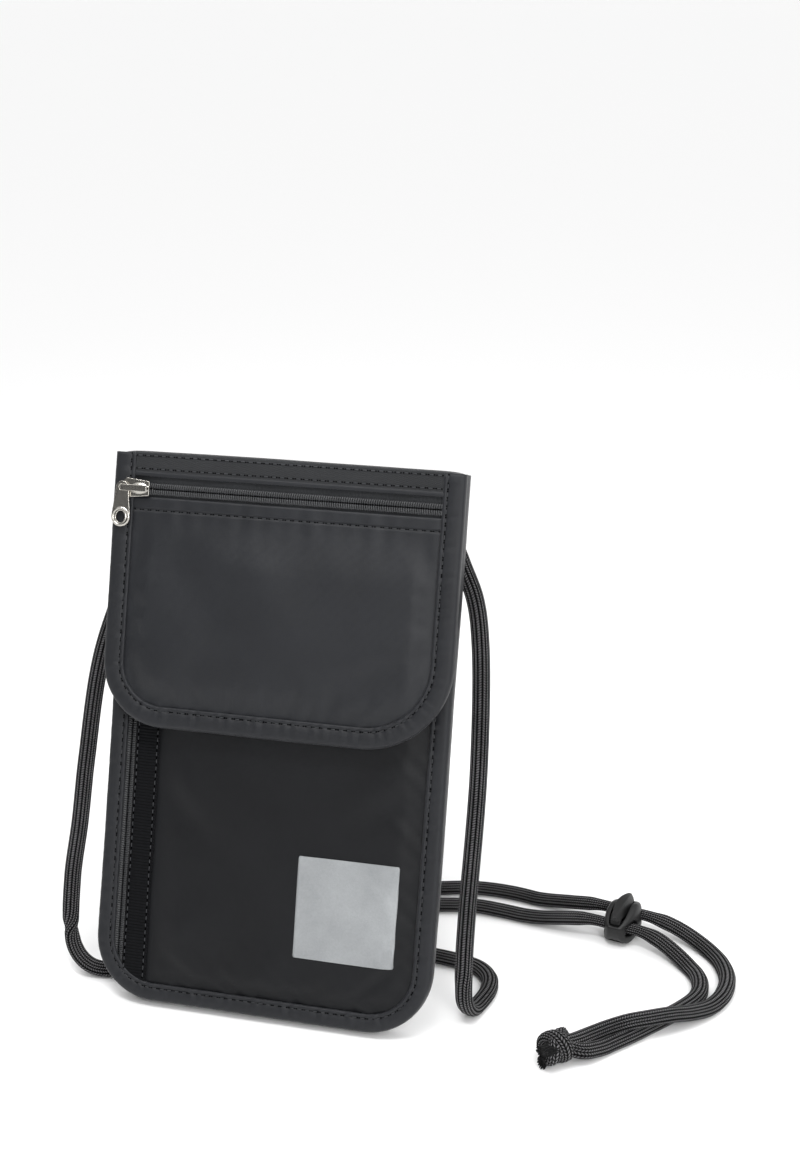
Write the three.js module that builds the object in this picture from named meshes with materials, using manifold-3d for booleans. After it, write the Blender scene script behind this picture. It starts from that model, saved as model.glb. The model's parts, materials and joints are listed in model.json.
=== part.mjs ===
// Neck pouch wallet: a flat fabric pouch that leans back on its lower back edge, with a
// zipped flap, a vertical front pocket zip, and a neck cord with a cord lock and a knot.
// Units are millimetres. +X runs to the wearer's left along the pouch, the front faces -Y, +Z is up.
import * as THREE from 'three';
import { mergeVertices } from 'three/addons/utils/BufferGeometryUtils.js';
import Module from 'manifold-3d';

const wasm = await Module();
wasm.setup();

// ---- driving dimensions -------------------------------------------------------------------
const GAP = 0.3;                  // clearance between touching pieces
const LEAN = THREE.MathUtils.degToRad(18);

// The pouch lies in its own upright frame: front plane at depth 0, depth grows to the back.
const BODY = { halfWidth: 65.3, top: 206.7, corner: 24, binding: 7.2, wall: 0.7 };
const FLAP = { halfWidth: 66.3, bottom: 105.3, cornerLeft: 24, cornerRight: 32, binding: 8.2, wall: 0.7 };
const HINGE = { y: -2.75, z: 207 };

// Layers as [front, back] depths.
const LAYER = {
  bodyBinding: [0, 8.7],
  frontPanel: [1.2, 2.0],
  pocketTape: [2.4, 2.8],
  pocketLining: [4.2, 4.8],
  divider: [5.4, 6.0],
  backPanel: [6.6, 7.6],
  backPad: [7.5, 9.8],
  surfaceTrim: [0.3, 0.9],
  loopPatch: [-1.3, 0.9],
  hookPatch: [-3.6, -1.6],
  flapBinding: [-8.3, -2.9],
  flapLining: [-4.4, -3.9],
  flapTape: [-6.1, -5.7],
  flapPanel: [-7.3, -6.4],
};

const ZIP = { slit: 1.2, coil: 1.15, post: 0.6 };
const FLAP_ZIP = { z: 193.6, slotBottom: 190.7, slotTop: 198.2, tape: 7, travelStart: -57.3 };
const POCKET_ZIP = { x: -56.5, bottom: 13, top: 172, tape: 4, sliderZ: 150 };
const RIBBON = { left: -54.4, width: 9.5, top: 170 };
const LABEL = { x: 31.9, z: 44, side: 38 };
const PATCH = { width: 60, bottom: 119, height: 18 };
const COMPARTMENT_TOP = 188;      // open upper edge of the front panel
const CORD = { radius: 2, sides: 8, step: 14, split: 0.68 };
const ANCHOR = { x: 57.5, width: 10, depth: 4.6, bottom: 191, height: 13 };

const LOCK = {
  x: 126.3, y: 54.1, turn: THREE.MathUtils.degToRad(-12),
  cordZ: 7.5, cordSpacing: 12.1, halfLength: 4.7, halfWidth: 11, bevel: 0.8,
  base: 0.25, shoulder: 9.9, crest: 13.2, floor: 1.8,
  cavity: 3.3, cavityWidth: 10.3, travel: 2,
};
const KNOT = { x: 112.3, y: -34.2, z: 6.5, radius: [7.5, 7, 6.3] };

// ---- materials ----------------------------------------------------------------------------
const finish = (color, roughness, metalness = 0) => () =>
  new THREE.MeshStandardMaterial({ color, roughness, metalness });
const shellFabric = finish(0x35373b, 0.62);
const liningFabric = finish(0x2b2c2f, 0.75);
const trimFabric = finish(0x2a2b2d, 0.8);
const cordFabric = finish(0x3a3a3c, 0.85);
const reflective = finish(0xb9bcbf, 0.45);
const nylon = finish(0x202124, 0.5);
const metal = finish(0xb7b2a8, 0.3, 1);
const springSteel = finish(0x8f9296, 0.35, 1);
const plastic = finish(0x1d1e1f, 0.5);

// ---- solids -------------------------------------------------------------------------------
function solid(geometry) {
  const bare = geometry.clone();
  bare.deleteAttribute('normal');
  bare.deleteAttribute('uv');
  const merged = mergeVertices(bare, 1e-4);
  return new wasm.Manifold(new wasm.Mesh({
    numProp: 3,
    vertProperties: Float32Array.from(merged.attributes.position.array),
    triVerts: Uint32Array.from(merged.index.array),
  }));
}

function geometryOf(manifold) {
  const mesh = manifold.getMesh();
  const geometry = new THREE.BufferGeometry();
  geometry.setAttribute('position', new THREE.BufferAttribute(mesh.vertProperties, 3));
  geometry.setIndex(new THREE.BufferAttribute(mesh.triVerts, 1));
  geometry.computeVertexNormals();
  return geometry;
}

function piece(name, geometry, material) {
  const mesh = new THREE.Mesh(geometry, material());
  mesh.name = name;
  return mesh;
}

// A flat sheet: an outline in X and Z, extruded from its back depth to its front depth.
function slab(outline, [front, back]) {
  const geometry = new THREE.ExtrudeGeometry(outline, {
    depth: back - front, bevelEnabled: false, curveSegments: 6,
  });
  geometry.rotateX(Math.PI / 2);
  geometry.translate(0, back, 0);
  return geometry;
}

function box([x0, x1], [y0, y1], [z0, z1]) {
  const geometry = new THREE.BoxGeometry(x1 - x0, y1 - y0, z1 - z0);
  geometry.translate((x0 + x1) / 2, (y0 + y1) / 2, (z0 + z1) / 2);
  return geometry;
}

function rectangle([x0, x1], [z0, z1]) {
  const outline = new THREE.Shape();
  outline.moveTo(x0, z0);
  outline.lineTo(x1, z0);
  outline.lineTo(x1, z1);
  outline.lineTo(x0, z1);
  return outline;
}

// A U outline: straight sides and top, and two round lower corners.
function pocketOutline(halfWidth, bottom, top, leftRadius, rightRadius) {
  const outline = new THREE.Shape();
  outline.moveTo(-halfWidth, top);
  outline.lineTo(-halfWidth, bottom + leftRadius);
  outline.absarc(-halfWidth + leftRadius, bottom + leftRadius, leftRadius, Math.PI, 1.5 * Math.PI);
  outline.lineTo(halfWidth - rightRadius, bottom);
  outline.absarc(halfWidth - rightRadius, bottom + rightRadius, rightRadius, 1.5 * Math.PI, 2 * Math.PI);
  outline.lineTo(halfWidth, top);
  return outline;
}

const bodyOutline = (inset, top = BODY.top) => pocketOutline(
  BODY.halfWidth - inset, inset, top, BODY.corner - inset, BODY.corner - inset);
const flapOutline = (inset, top = BODY.top) => pocketOutline(
  FLAP.halfWidth - inset, FLAP.bottom + inset, top, FLAP.cornerLeft - inset, FLAP.cornerRight - inset);

// An edge binding: a folded strip that wraps the sides and the bottom of a U outline.
function binding(outlineAt, size, [front, back]) {
  const above = BODY.top + 5;
  const cavity = slab(outlineAt(size.wall, above), [front + size.wall, back - size.wall]);
  const window = slab(outlineAt(size.binding, above), [front - 1, back + 1]);
  const folded = solid(slab(outlineAt(0), [front, back])).subtract(solid(cavity));
  return geometryOf(folded.subtract(solid(window)));
}

// ---- pouch body ---------------------------------------------------------------------------
const panelInset = BODY.wall + GAP;

function addBody(group) {
  const backShape = bodyOutline(panelInset);
  const padShape = rectangle([-50, 50], [14, 184]);
  const back = solid(slab(backShape, LAYER.backPanel)).add(solid(slab(padShape, LAYER.backPad)));
  group.add(piece('back_panel', geometryOf(back), shellFabric));
  group.add(piece('divider_panel', slab(bodyOutline(panelInset, 200), LAYER.divider), liningFabric));

  const lining = slab(bodyOutline(panelInset, COMPARTMENT_TOP), LAYER.pocketLining);
  group.add(piece('pocket_lining', lining, liningFabric));

  const slotEdge = RIBBON.left - 0.2;
  const besideSlot = box([-BODY.halfWidth - 1, slotEdge], [0, 5], [-1, COMPARTMENT_TOP + 1]);
  const front = solid(slab(bodyOutline(panelInset, COMPARTMENT_TOP), LAYER.frontPanel));
  group.add(piece('front_panel', geometryOf(front.subtract(solid(besideSlot))), shellFabric));

  group.add(piece('body_binding', binding(bodyOutline, BODY, LAYER.bodyBinding), shellFabric));

  const ribbonShape = rectangle([RIBBON.left, RIBBON.left + RIBBON.width], [0, RIBBON.top]);
  const insideBinding = slab(bodyOutline(BODY.binding + GAP), LAYER.surfaceTrim);
  const ribbon = solid(slab(ribbonShape, LAYER.surfaceTrim)).intersect(solid(insideBinding));
  group.add(piece('front_ribbon', geometryOf(ribbon), trimFabric));

  const half = LABEL.side / 2;
  const labelShape = rectangle([LABEL.x - half, LABEL.x + half], [LABEL.z - half, LABEL.z + half]);
  group.add(piece('reflective_label', slab(labelShape, LAYER.surfaceTrim), reflective));
  group.add(piece('loop_patch', slab(patchShape(), LAYER.loopPatch), trimFabric));
  group.add(piece('top_fold', topFold(), shellFabric));
}

function patchShape() {
  return rectangle([-PATCH.width / 2, PATCH.width / 2], [PATCH.bottom, PATCH.bottom + PATCH.height]);
}

// The fold of shell fabric that joins the back panel to the flap over the top edge.
function topFold() {
  const width = FLAP.halfWidth - 1;
  const [front] = LAYER.flapBinding;
  const [, back] = LAYER.bodyBinding;
  return box([-width, width], [front, back], [HINGE.z, HINGE.z + 0.9]);
}

// ---- flap ---------------------------------------------------------------------------------
function addFlap(group) {
  const inset = FLAP.wall + GAP;
  const side = FLAP.halfWidth - inset;
  const strip = rectangle([-side, side], [FLAP_ZIP.slotTop, BODY.top]);
  group.add(piece('flap_top_strip', slab(strip, LAYER.flapPanel), trimFabric));
  const front = slab(flapOutline(inset, FLAP_ZIP.slotBottom), LAYER.flapPanel);
  group.add(piece('flap_front_panel', front, shellFabric));
  group.add(piece('flap_lining', slab(flapOutline(inset), LAYER.flapLining), liningFabric));
  group.add(piece('flap_binding', binding(flapOutline, FLAP, LAYER.flapBinding), shellFabric));
  group.add(piece('hook_patch', slab(patchShape(), LAYER.hookPatch), trimFabric));
}

// ---- zips ---------------------------------------------------------------------------------
// Each zip runs along X about its own centre line. Each half is a woven tape with a coil on it,
// and the slit between the halves clears the slider's centre post.
function addZip(group, name, [start, end], sides, tape, coilDepth) {
  const edge = ZIP.slit / 2;
  for (const [side, sign] of sides) {
    const span = (width) => (sign > 0 ? [edge, edge + width] : [-edge - width, -edge]);
    group.add(piece(`${name}_tape_${side}`, box([start, end], tape.depth, span(tape.width)), trimFabric));
    group.add(piece(`${name}_coil_${side}`, box([start, end], coilDepth, span(ZIP.coil)), nylon));
  }
}

// A slider: a top plate and a bottom plate on a thin centre post, and a crown over the top plate.
function sliderGeometry({ length, width, plate, under, crown, post }) {
  const plateShape = new THREE.Shape();
  const [nose, tail] = [-length / 2, length / 2];
  const taper = width * 0.28;
  plateShape.moveTo(nose, -width / 2 + taper);
  plateShape.lineTo(nose + taper, -width / 2);
  plateShape.lineTo(tail, -width / 2 + taper / 2);
  plateShape.lineTo(tail, width / 2 - taper / 2);
  plateShape.lineTo(nose + taper, width / 2);
  plateShape.lineTo(nose, width / 2 - taper);
  const leg = 1.2;
  const [crownFront, crownBack] = crown;
  const legDepth = [crownFront, plate[1] - 0.1];
  return geometryOf(solid(slab(plateShape, plate))
    .add(solid(slab(plateShape, under)))
    .add(solid(box(post, [plate[0] + 0.1, under[1] - 0.1], [-ZIP.post / 2, ZIP.post / 2])))
    .add(solid(box([nose + 0.3, nose + 0.3 + leg], legDepth, [-leg / 2, leg / 2])))
    .add(solid(box([tail - 0.3 - leg, tail - 0.3], legDepth, [-leg / 2, leg / 2])))
    .add(solid(box([nose + 0.3, tail - 0.3], [crownFront, crownBack], [-leg, leg]))));
}

// A drop-shaped pull that hangs from the eye at its origin, with an oval window near its end.
function pullGeometry(length, width, [front, back]) {
  const outline = new THREE.Shape();
  const head = width * 0.32;
  const foot = width / 2;
  outline.absarc(0, 0, head, 0, Math.PI);
  outline.lineTo(-foot, foot - length + head);
  outline.absarc(0, foot - length + head, foot, Math.PI, 2 * Math.PI);
  outline.lineTo(head, 0);
  const eye = new THREE.Path();
  eye.absarc(0, 0, 1.2, 0, 2 * Math.PI, true);
  const window = new THREE.Path();
  window.absellipse(0, foot - length + head, foot * 0.48, foot * 0.62, 0, 2 * Math.PI, true);
  outline.holes.push(eye, window);
  return slab(outline, [front, back]);
}

function addFlapZip(group) {
  const zip = new THREE.Group();
  zip.position.z = FLAP_ZIP.z;
  const end = FLAP.halfWidth - FLAP.wall - GAP;
  const sides = [['upper', 1], ['lower', -1]];
  const tape = { width: FLAP_ZIP.tape, depth: LAYER.flapTape };
  addZip(zip, 'flap_zip', [-end, end], sides, tape, LAYER.flapPanel);
  const carriage = new THREE.Group();
  carriage.position.x = FLAP_ZIP.travelStart;
  const slider = sliderGeometry({
    length: 11, width: 7.4, plate: [-9.4, -8.6], under: [-5.4, -4.7], crown: [-11.5, -10.9],
    post: [-0.3, 2.7],
  });
  carriage.add(piece('flap_zip_slider', slider, metal));
  const pull = piece('flap_zip_pull', pullGeometry(17, 7.4, [-10.6, -9.7]), metal);
  pull.position.x = -4.6;
  carriage.add(pull);
  zip.add(carriage);
  group.add(zip);
}

// The pocket zip stands upright: the group's X axis is turned to point up.
function addPocketZip(group) {
  const zip = new THREE.Group();
  zip.position.x = POCKET_ZIP.x;
  zip.rotation.y = -Math.PI / 2;
  const span = [POCKET_ZIP.bottom, POCKET_ZIP.top];
  const sides = [['left', 1], ['right', -1]];
  const tape = { width: POCKET_ZIP.tape, depth: LAYER.pocketTape };
  addZip(zip, 'pocket_zip', span, sides, tape, [1.1, 2.1]);
  const carriage = new THREE.Group();
  carriage.position.x = POCKET_ZIP.sliderZ;
  const slider = sliderGeometry({
    length: 9, width: 5.2, plate: [-0.9, -0.3], under: [3.1, 3.8], crown: [-2.6, -2.2],
    post: [-1.5, 1.5],
  });
  carriage.add(piece('pocket_zip_slider', slider, metal));
  const pull = piece('pocket_zip_pull', pullGeometry(15, 6.4, [-1.9, -1.2]), metal);
  pull.position.x = -3.6;
  pull.rotation.y = Math.PI / 2;
  carriage.add(pull);
  zip.add(carriage);
  group.add(zip);
}

// ---- cord ends, cords, lock and knot --------------------------------------------------------
function addAnchors(group) {
  const [, bindingBack] = LAYER.bodyBinding;
  const depth = [bindingBack + GAP, bindingBack + GAP + ANCHOR.depth];
  for (const [side, sign] of [['left', -1], ['right', 1]]) {
    const across = [sign * ANCHOR.x - ANCHOR.width / 2, sign * ANCHOR.x + ANCHOR.width / 2];
    const tab = box(across, depth, [ANCHOR.bottom, ANCHOR.bottom + ANCHOR.height]);
    group.add(piece(`cord_tab_${side}`, tab, shellFabric));
  }
}

// Routes in the part's final frame, from the tab on the pouch's back to the knot.
const CORD_LEFT_ROUTE = [
  [-57.5, 31.4, 179.7], [-58.4, 29.8, 174.4], [-61.4, 27.0, 164.6], [-75.0, 13.8, 122.6],
  [-78.8, 0.8, 83.0], [-80.0, -7.0, 58.6], [-81.6, -14.0, 37.4], [-80.4, -20.8, 15.4],
  [-77.4, -22.0, 8.2], [-72.4, -22.2, 4.0], [-65.6, -20.8, 2.4], [-55.4, -16.6, 2.2],
  [-42.6, -7.4, 2.2], [-31.0, 5.4, 2.2], [-10.4, 35.0, 2.2], [1.0, 48.6, 2.2],
  [15.0, 58.6, 2.2], [47.0, 67.6, 2.2], [62.0, 71.4, 2.2], [77.0, 71.4, 2.2],
  [91.0, 68.6, 2.8], [103.4, 65.4, 5.2], [116.8, 62.3, 7.5], [127.6, 60.0, 7.5],
  [137.4, 57.9, 7.5], [147.0, 55.2, 6.2], [157.0, 49.8, 4.0], [165.6, 41.0, 2.4],
  [169.8, 28.6, 2.2], [168.6, 16.4, 2.2], [163.8, 7.0, 2.9], [157.4, -0.4, 4.8],
  [150.4, -6.2, 6.8], [143.0, -11.0, 7.4], [135.6, -14.4, 6.8], [128.8, -17.8, 5.4],
  [123.2, -22.8, 5.2], [118.2, -28.5, 5.8],
];
const CORD_RIGHT_ROUTE = [
  [57.5, 31.4, 179.7], [58.8, 29.8, 174.4], [63.0, 27.4, 165.2], [69.0, 23.4, 152.8],
  [72.2, 18.4, 137.4], [75.0, 4.2, 93.8], [74.6, -12.6, 41.4], [74.8, -17.6, 26.4],
  [75.3, -20.4, 17.4], [75.7, -20.8, 11.2], [76.6, -18.4, 6.2], [77.9, -14.4, 3.2],
  [81.2, -1.2, 2.2], [80.2, 6.8, 2.2], [75.4, 12.8, 2.2], [67.6, 15.8, 2.2],
  [46.0, 19.0, 2.2], [21.5, 22.6, 2.2], [12.4, 26.4, 2.2], [8.6, 35.5, 2.2],
  [12.4, 44.6, 2.2], [21.5, 48.4, 2.2], [37.0, 51.2, 2.2], [51.0, 55.0, 2.2],
  [65.0, 57.4, 2.2], [79.0, 56.0, 2.3], [91.6, 53.6, 3.4], [114.2, 50.5, 7.5],
  [125.0, 48.2, 7.5], [134.8, 46.1, 7.5], [143.0, 42.6, 6.2], [156.8, 30.2, 2.4],
  [159.9, 21.6, 2.2], [158.7, 12.2, 2.2], [140.2, -12.2, 2.2], [129.2, -24.0, 2.5],
  [125.0, -28.6, 3.4], [120.5, -32.6, 4.9],
];

// The stretch of a cord's route between two fractions of its length.
class Stretch extends THREE.Curve {
  constructor(route, start, end) {
    super();
    this.route = route;
    this.start = start;
    this.end = end;
  }

  getPoint(t, target = new THREE.Vector3()) {
    return this.route.getPointAt(this.start + (this.end - this.start) * t, target);
  }
}

function cordGeometry(stretch) {
  const section = new THREE.Shape();
  for (let i = 0; i < CORD.sides; i += 1) {
    const angle = (2 * Math.PI * i) / CORD.sides;
    const point = [CORD.radius * Math.cos(angle), CORD.radius * Math.sin(angle)];
    if (i === 0) section.moveTo(...point);
    else section.lineTo(...point);
  }
  section.closePath();
  const steps = Math.round(stretch.getLength() / CORD.step);
  return new THREE.ExtrudeGeometry(section, { steps, bevelEnabled: false, extrudePath: stretch });
}

// Each cord is two tubes that meet face to face: one from its tab down and along the surface,
// and one from there through the lock to the knot.
function addCord(group, name, points) {
  const route = new THREE.CatmullRomCurve3(
    points.map((point) => new THREE.Vector3(...point)), false, 'centripetal');
  const gap = GAP / route.getLength();
  group.add(piece(name, cordGeometry(new Stretch(route, 0, CORD.split)), cordFabric));
  group.add(piece(`${name}_end`, cordGeometry(new Stretch(route, CORD.split + gap, 1)), cordFabric));
}

function addCords(group) {
  addCord(group, 'cord_left', CORD_LEFT_ROUTE);
  addCord(group, 'cord_right', CORD_RIGHT_ROUTE);
  const knot = new THREE.SphereGeometry(1, 14, 9);
  knot.scale(...KNOT.radius);
  knot.translate(KNOT.x, KNOT.y, KNOT.z);
  group.add(piece('cord_knot', knot, cordFabric));
}

// A slot for one cord, through the lock along X.
function cordSlot(side, halfLength, [bottom, top]) {
  const width = 6.5;
  const centre = (side * LOCK.cordSpacing) / 2;
  return solid(box([-halfLength, halfLength], [centre - width / 2, centre + width / 2], [bottom, top]));
}

function lockBodyGeometry() {
  const outline = new THREE.Shape();
  const { halfWidth, base, shoulder, crest, bevel } = LOCK;
  const low = base + bevel;
  outline.moveTo(-6, low);
  outline.lineTo(6, low);
  outline.quadraticCurveTo(halfWidth - 1, low + 0.5, halfWidth, shoulder - 3);
  outline.lineTo(halfWidth, shoulder - bevel);
  outline.quadraticCurveTo(0, 2 * (crest - bevel) - shoulder + bevel, -halfWidth, shoulder - bevel);
  outline.lineTo(-halfWidth, shoulder - 3);
  outline.quadraticCurveTo(-halfWidth + 1, low + 0.5, -6, low);
  const block = new THREE.ExtrudeGeometry(outline, {
    depth: 2 * LOCK.halfLength, curveSegments: 8,
    bevelEnabled: true, bevelThickness: bevel, bevelSize: bevel, bevelSegments: 2,
  });
  block.translate(0, 0, -LOCK.halfLength);
  block.rotateX(Math.PI / 2);
  block.rotateZ(Math.PI / 2);
  const { cavity, cavityWidth, floor, cordZ } = LOCK;
  let body = solid(block)
    .subtract(solid(box([-cavity, cavity], [-cavityWidth, cavityWidth], [floor, crest + 5])))
    .subtract(solid(box([-cavity, cavity], [-halfWidth - 3, halfWidth + 3], [shoulder, crest + 5])));
  for (const side of [-1, 1]) {
    body = body.subtract(cordSlot(side, LOCK.halfLength + 3, [cordZ - 2.35, cordZ + 2.35]));
  }
  return geometryOf(body);
}

function lockPlungerGeometry() {
  const { cavity, cavityWidth, cordZ, travel, shoulder } = LOCK;
  const half = cavity - GAP;
  const rail = cordZ - CORD.radius - GAP - 1;
  const capBottom = shoulder + travel + GAP;
  const capTop = 15;
  let plunger = solid(box([-half, half], [-cavityWidth + GAP, cavityWidth - GAP], [rail, capBottom + 0.1]))
    .add(solid(box([-half, half], [-11.5, 11.5], [capBottom, capTop])));
  for (const side of [-1, 1]) {
    plunger = plunger.subtract(cordSlot(side, half + 1, [rail + 0.95, cordZ + CORD.radius + travel + GAP]));
  }
  const bore = new THREE.CylinderGeometry(2, 2, capBottom - 1, 12);
  bore.rotateX(Math.PI / 2);
  bore.translate(0, 0, (capBottom - 1) / 2);
  return geometryOf(plunger.subtract(solid(bore)));
}

// A compression spring that stands in the plunger's bore.
function lockSpringGeometry() {
  class Helix extends THREE.Curve {
    getPoint(t, target = new THREE.Vector3()) {
      const turns = 4;
      const angle = 2 * Math.PI * turns * t;
      const [bottom, top] = [LOCK.floor + 0.7, LOCK.shoulder + 0.6];
      return target.set(1.3 * Math.cos(angle), 1.3 * Math.sin(angle), bottom + (top - bottom) * t);
    }
  }
  const wire = new THREE.Shape();
  wire.moveTo(0.35, 0);
  wire.lineTo(0, 0.35);
  wire.lineTo(-0.35, 0);
  wire.lineTo(0, -0.35);
  return new THREE.ExtrudeGeometry(wire, { steps: 40, bevelEnabled: false, extrudePath: new Helix() });
}

function addLock(group) {
  const lock = new THREE.Group();
  lock.position.set(LOCK.x, LOCK.y, 0);
  lock.rotation.z = LOCK.turn;
  lock.add(piece('cord_lock_body', lockBodyGeometry(), plastic));
  lock.add(piece('cord_lock_plunger', lockPlungerGeometry(), plastic));
  lock.add(piece('cord_lock_spring', lockSpringGeometry(), springSteel));
  group.add(lock);
}

// ---- assembly -------------------------------------------------------------------------------
const pouch = new THREE.Group();
addBody(pouch);
addFlap(pouch);
addFlapZip(pouch);
addPocketZip(pouch);
addAnchors(pouch);
pouch.rotation.x = -LEAN;

// The origin is under the middle of the leaning pouch, on the surface it stands on.
pouch.updateMatrixWorld(true);
const bounds = new THREE.Box3().setFromObject(pouch, true);
const middle = bounds.getCenter(new THREE.Vector3());
pouch.position.set(-middle.x, -middle.y, -bounds.min.z);

const neckPouch = new THREE.Group();
neckPouch.add(pouch);
addCords(neckPouch);
addLock(neckPouch);

export default neckPouch;
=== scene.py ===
# Neck pouch wallet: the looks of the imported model, in metres, in the model's own frame.
import json
import math
import random

import bmesh
import bpy
import numpy as np
from mathutils import Matrix, Vector


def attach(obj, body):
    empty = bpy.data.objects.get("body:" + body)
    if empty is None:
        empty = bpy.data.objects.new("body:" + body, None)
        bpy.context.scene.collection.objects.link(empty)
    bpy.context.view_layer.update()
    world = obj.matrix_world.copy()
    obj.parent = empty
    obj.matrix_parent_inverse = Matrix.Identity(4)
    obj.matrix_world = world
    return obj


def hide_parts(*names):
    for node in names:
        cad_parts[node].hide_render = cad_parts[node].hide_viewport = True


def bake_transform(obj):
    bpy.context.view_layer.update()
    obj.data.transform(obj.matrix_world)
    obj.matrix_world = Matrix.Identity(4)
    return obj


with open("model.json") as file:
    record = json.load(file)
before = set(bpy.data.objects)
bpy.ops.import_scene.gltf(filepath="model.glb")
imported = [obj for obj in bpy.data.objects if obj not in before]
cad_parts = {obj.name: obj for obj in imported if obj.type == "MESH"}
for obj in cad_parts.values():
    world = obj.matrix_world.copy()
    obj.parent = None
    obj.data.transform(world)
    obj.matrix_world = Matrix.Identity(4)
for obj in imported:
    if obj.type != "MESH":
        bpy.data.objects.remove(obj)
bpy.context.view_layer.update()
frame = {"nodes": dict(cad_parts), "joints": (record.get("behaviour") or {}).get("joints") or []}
random.seed(7)

# ---- driving dimensions, in the pouch's own upright frame ---------------------------------
# x runs along the width, y is depth with the front at negative values, z is height.
LEAN = math.radians(18)
HINGE_AT = (0.0, -0.00275, 0.207)
BODY = dict(half=0.0653, bottom=0.0, top=0.2067, left=0.024, right=0.024, band=0.0072)
FLAP = dict(half=0.0663, bottom=0.1053, top=0.2067, left=0.024, right=0.032, band=0.0082)
EDGE_INSET = 0.001
BODY_LAYERS = dict(binding=(0.0, 0.0087), panel=0.0012, lining=0.0042, divider=0.0054, back=0.0066)
FLAP_LAYERS = dict(binding=(-0.0083, -0.0029), panel=-0.0073, lining=-0.0044, tape=-0.0061)
COMPARTMENT_TOP = 0.188
FLAP_ZIP = dict(z=0.1936, slot_bottom=0.1907, slot_top=0.1982, tape=0.007)
POCKET_ZIP = dict(x=-0.0565, bottom=0.013, top=0.172, tape=0.004)
RIBBON = dict(left=-0.0544, width=0.0095, top=0.170, bottom=0.0076)
LABEL = dict(x=0.0319, z=0.044, side=0.038)
PATCH = dict(half=0.030, bottom=0.119, height=0.018)
TAB = dict(x=0.0575, half=0.0036, low=0.1935, high=0.2020, face=0.01355)
FLAP_FOLDS = [
    (-0.046, 0.166, 0.35, 0.016, 0.0060, -0.0011), (-0.030, 0.155, -0.9, 0.022, 0.0090, -0.0008),
    (-0.006, 0.160, -1.1, 0.034, 0.0110, 0.0010), (0.036, 0.131, 0.5, 0.020, 0.0060, -0.0011),
    (0.046, 0.142, 0.4, 0.018, 0.0060, 0.0008), (-0.040, 0.132, 0.8, 0.018, 0.0080, 0.0007),
    (0.018, 0.180, -1.3, 0.014, 0.0050, 0.0004), (-0.020, 0.181, -1.2, 0.012, 0.0045, -0.0004)]
BODY_FOLDS = [
    (-0.036, 0.075, -0.75, 0.016, 0.0050, -0.0009), (-0.030, 0.083, -0.7, 0.018, 0.0060, 0.0008),
    (0.047, 0.083, 0.45, 0.016, 0.0050, -0.0009), (0.046, 0.093, 0.4, 0.016, 0.0060, 0.0007),
    (-0.018, 0.016, 1.2, 0.010, 0.0040, -0.0008), (0.004, 0.018, 1.3, 0.011, 0.0045, 0.0006),
    (-0.034, 0.028, 0.6, 0.018, 0.0060, 0.0006), (0.010, 0.060, -0.9, 0.040, 0.0140, 0.0008)]
TEETH_PITCH = 0.00085
RIB_PITCH = 0.00115               # of the grosgrain ribbon
STITCH_PITCH = 0.0030
SEAM_INSET = 0.0017               # from a binding's inner lip to the middle of its seam

CORD = dict(width=0.0066, thick=0.0050)
CORD_LEFT_ROUTE = [
    (-0.0575, 0.0314, 0.1797), (-0.0584, 0.0298, 0.1744), (-0.0614, 0.0270, 0.1646),
    (-0.0750, 0.0138, 0.1226), (-0.0788, 0.0008, 0.0830), (-0.0800, -0.0070, 0.0586),
    (-0.0816, -0.0140, 0.0374), (-0.0804, -0.0208, 0.0154), (-0.0774, -0.0220, 0.0082),
    (-0.0724, -0.0222, 0.0040), (-0.0656, -0.0208, 0.0024), (-0.0554, -0.0166, 0.0022),
    (-0.0426, -0.0074, 0.0022), (-0.0310, 0.0054, 0.0022), (-0.0104, 0.0350, 0.0022),
    (0.0010, 0.0486, 0.0022), (0.0150, 0.0586, 0.0022), (0.0470, 0.0676, 0.0022),
    (0.0620, 0.0714, 0.0022), (0.0770, 0.0714, 0.0022), (0.0910, 0.0686, 0.0028),
    (0.1034, 0.0654, 0.0052), (0.1168, 0.0623, 0.0075), (0.1276, 0.0600, 0.0075),
    (0.1374, 0.0579, 0.0075), (0.1470, 0.0552, 0.0062), (0.1570, 0.0498, 0.0040),
    (0.1656, 0.0410, 0.0024), (0.1698, 0.0286, 0.0022), (0.1686, 0.0164, 0.0022),
    (0.1638, 0.0070, 0.0029), (0.1574, -0.0004, 0.0048), (0.1504, -0.0062, 0.0068),
    (0.1430, -0.0110, 0.0074), (0.1356, -0.0144, 0.0068), (0.1288, -0.0178, 0.0054),
    (0.1232, -0.0228, 0.0052), (0.1182, -0.0285, 0.0058),
]
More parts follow.
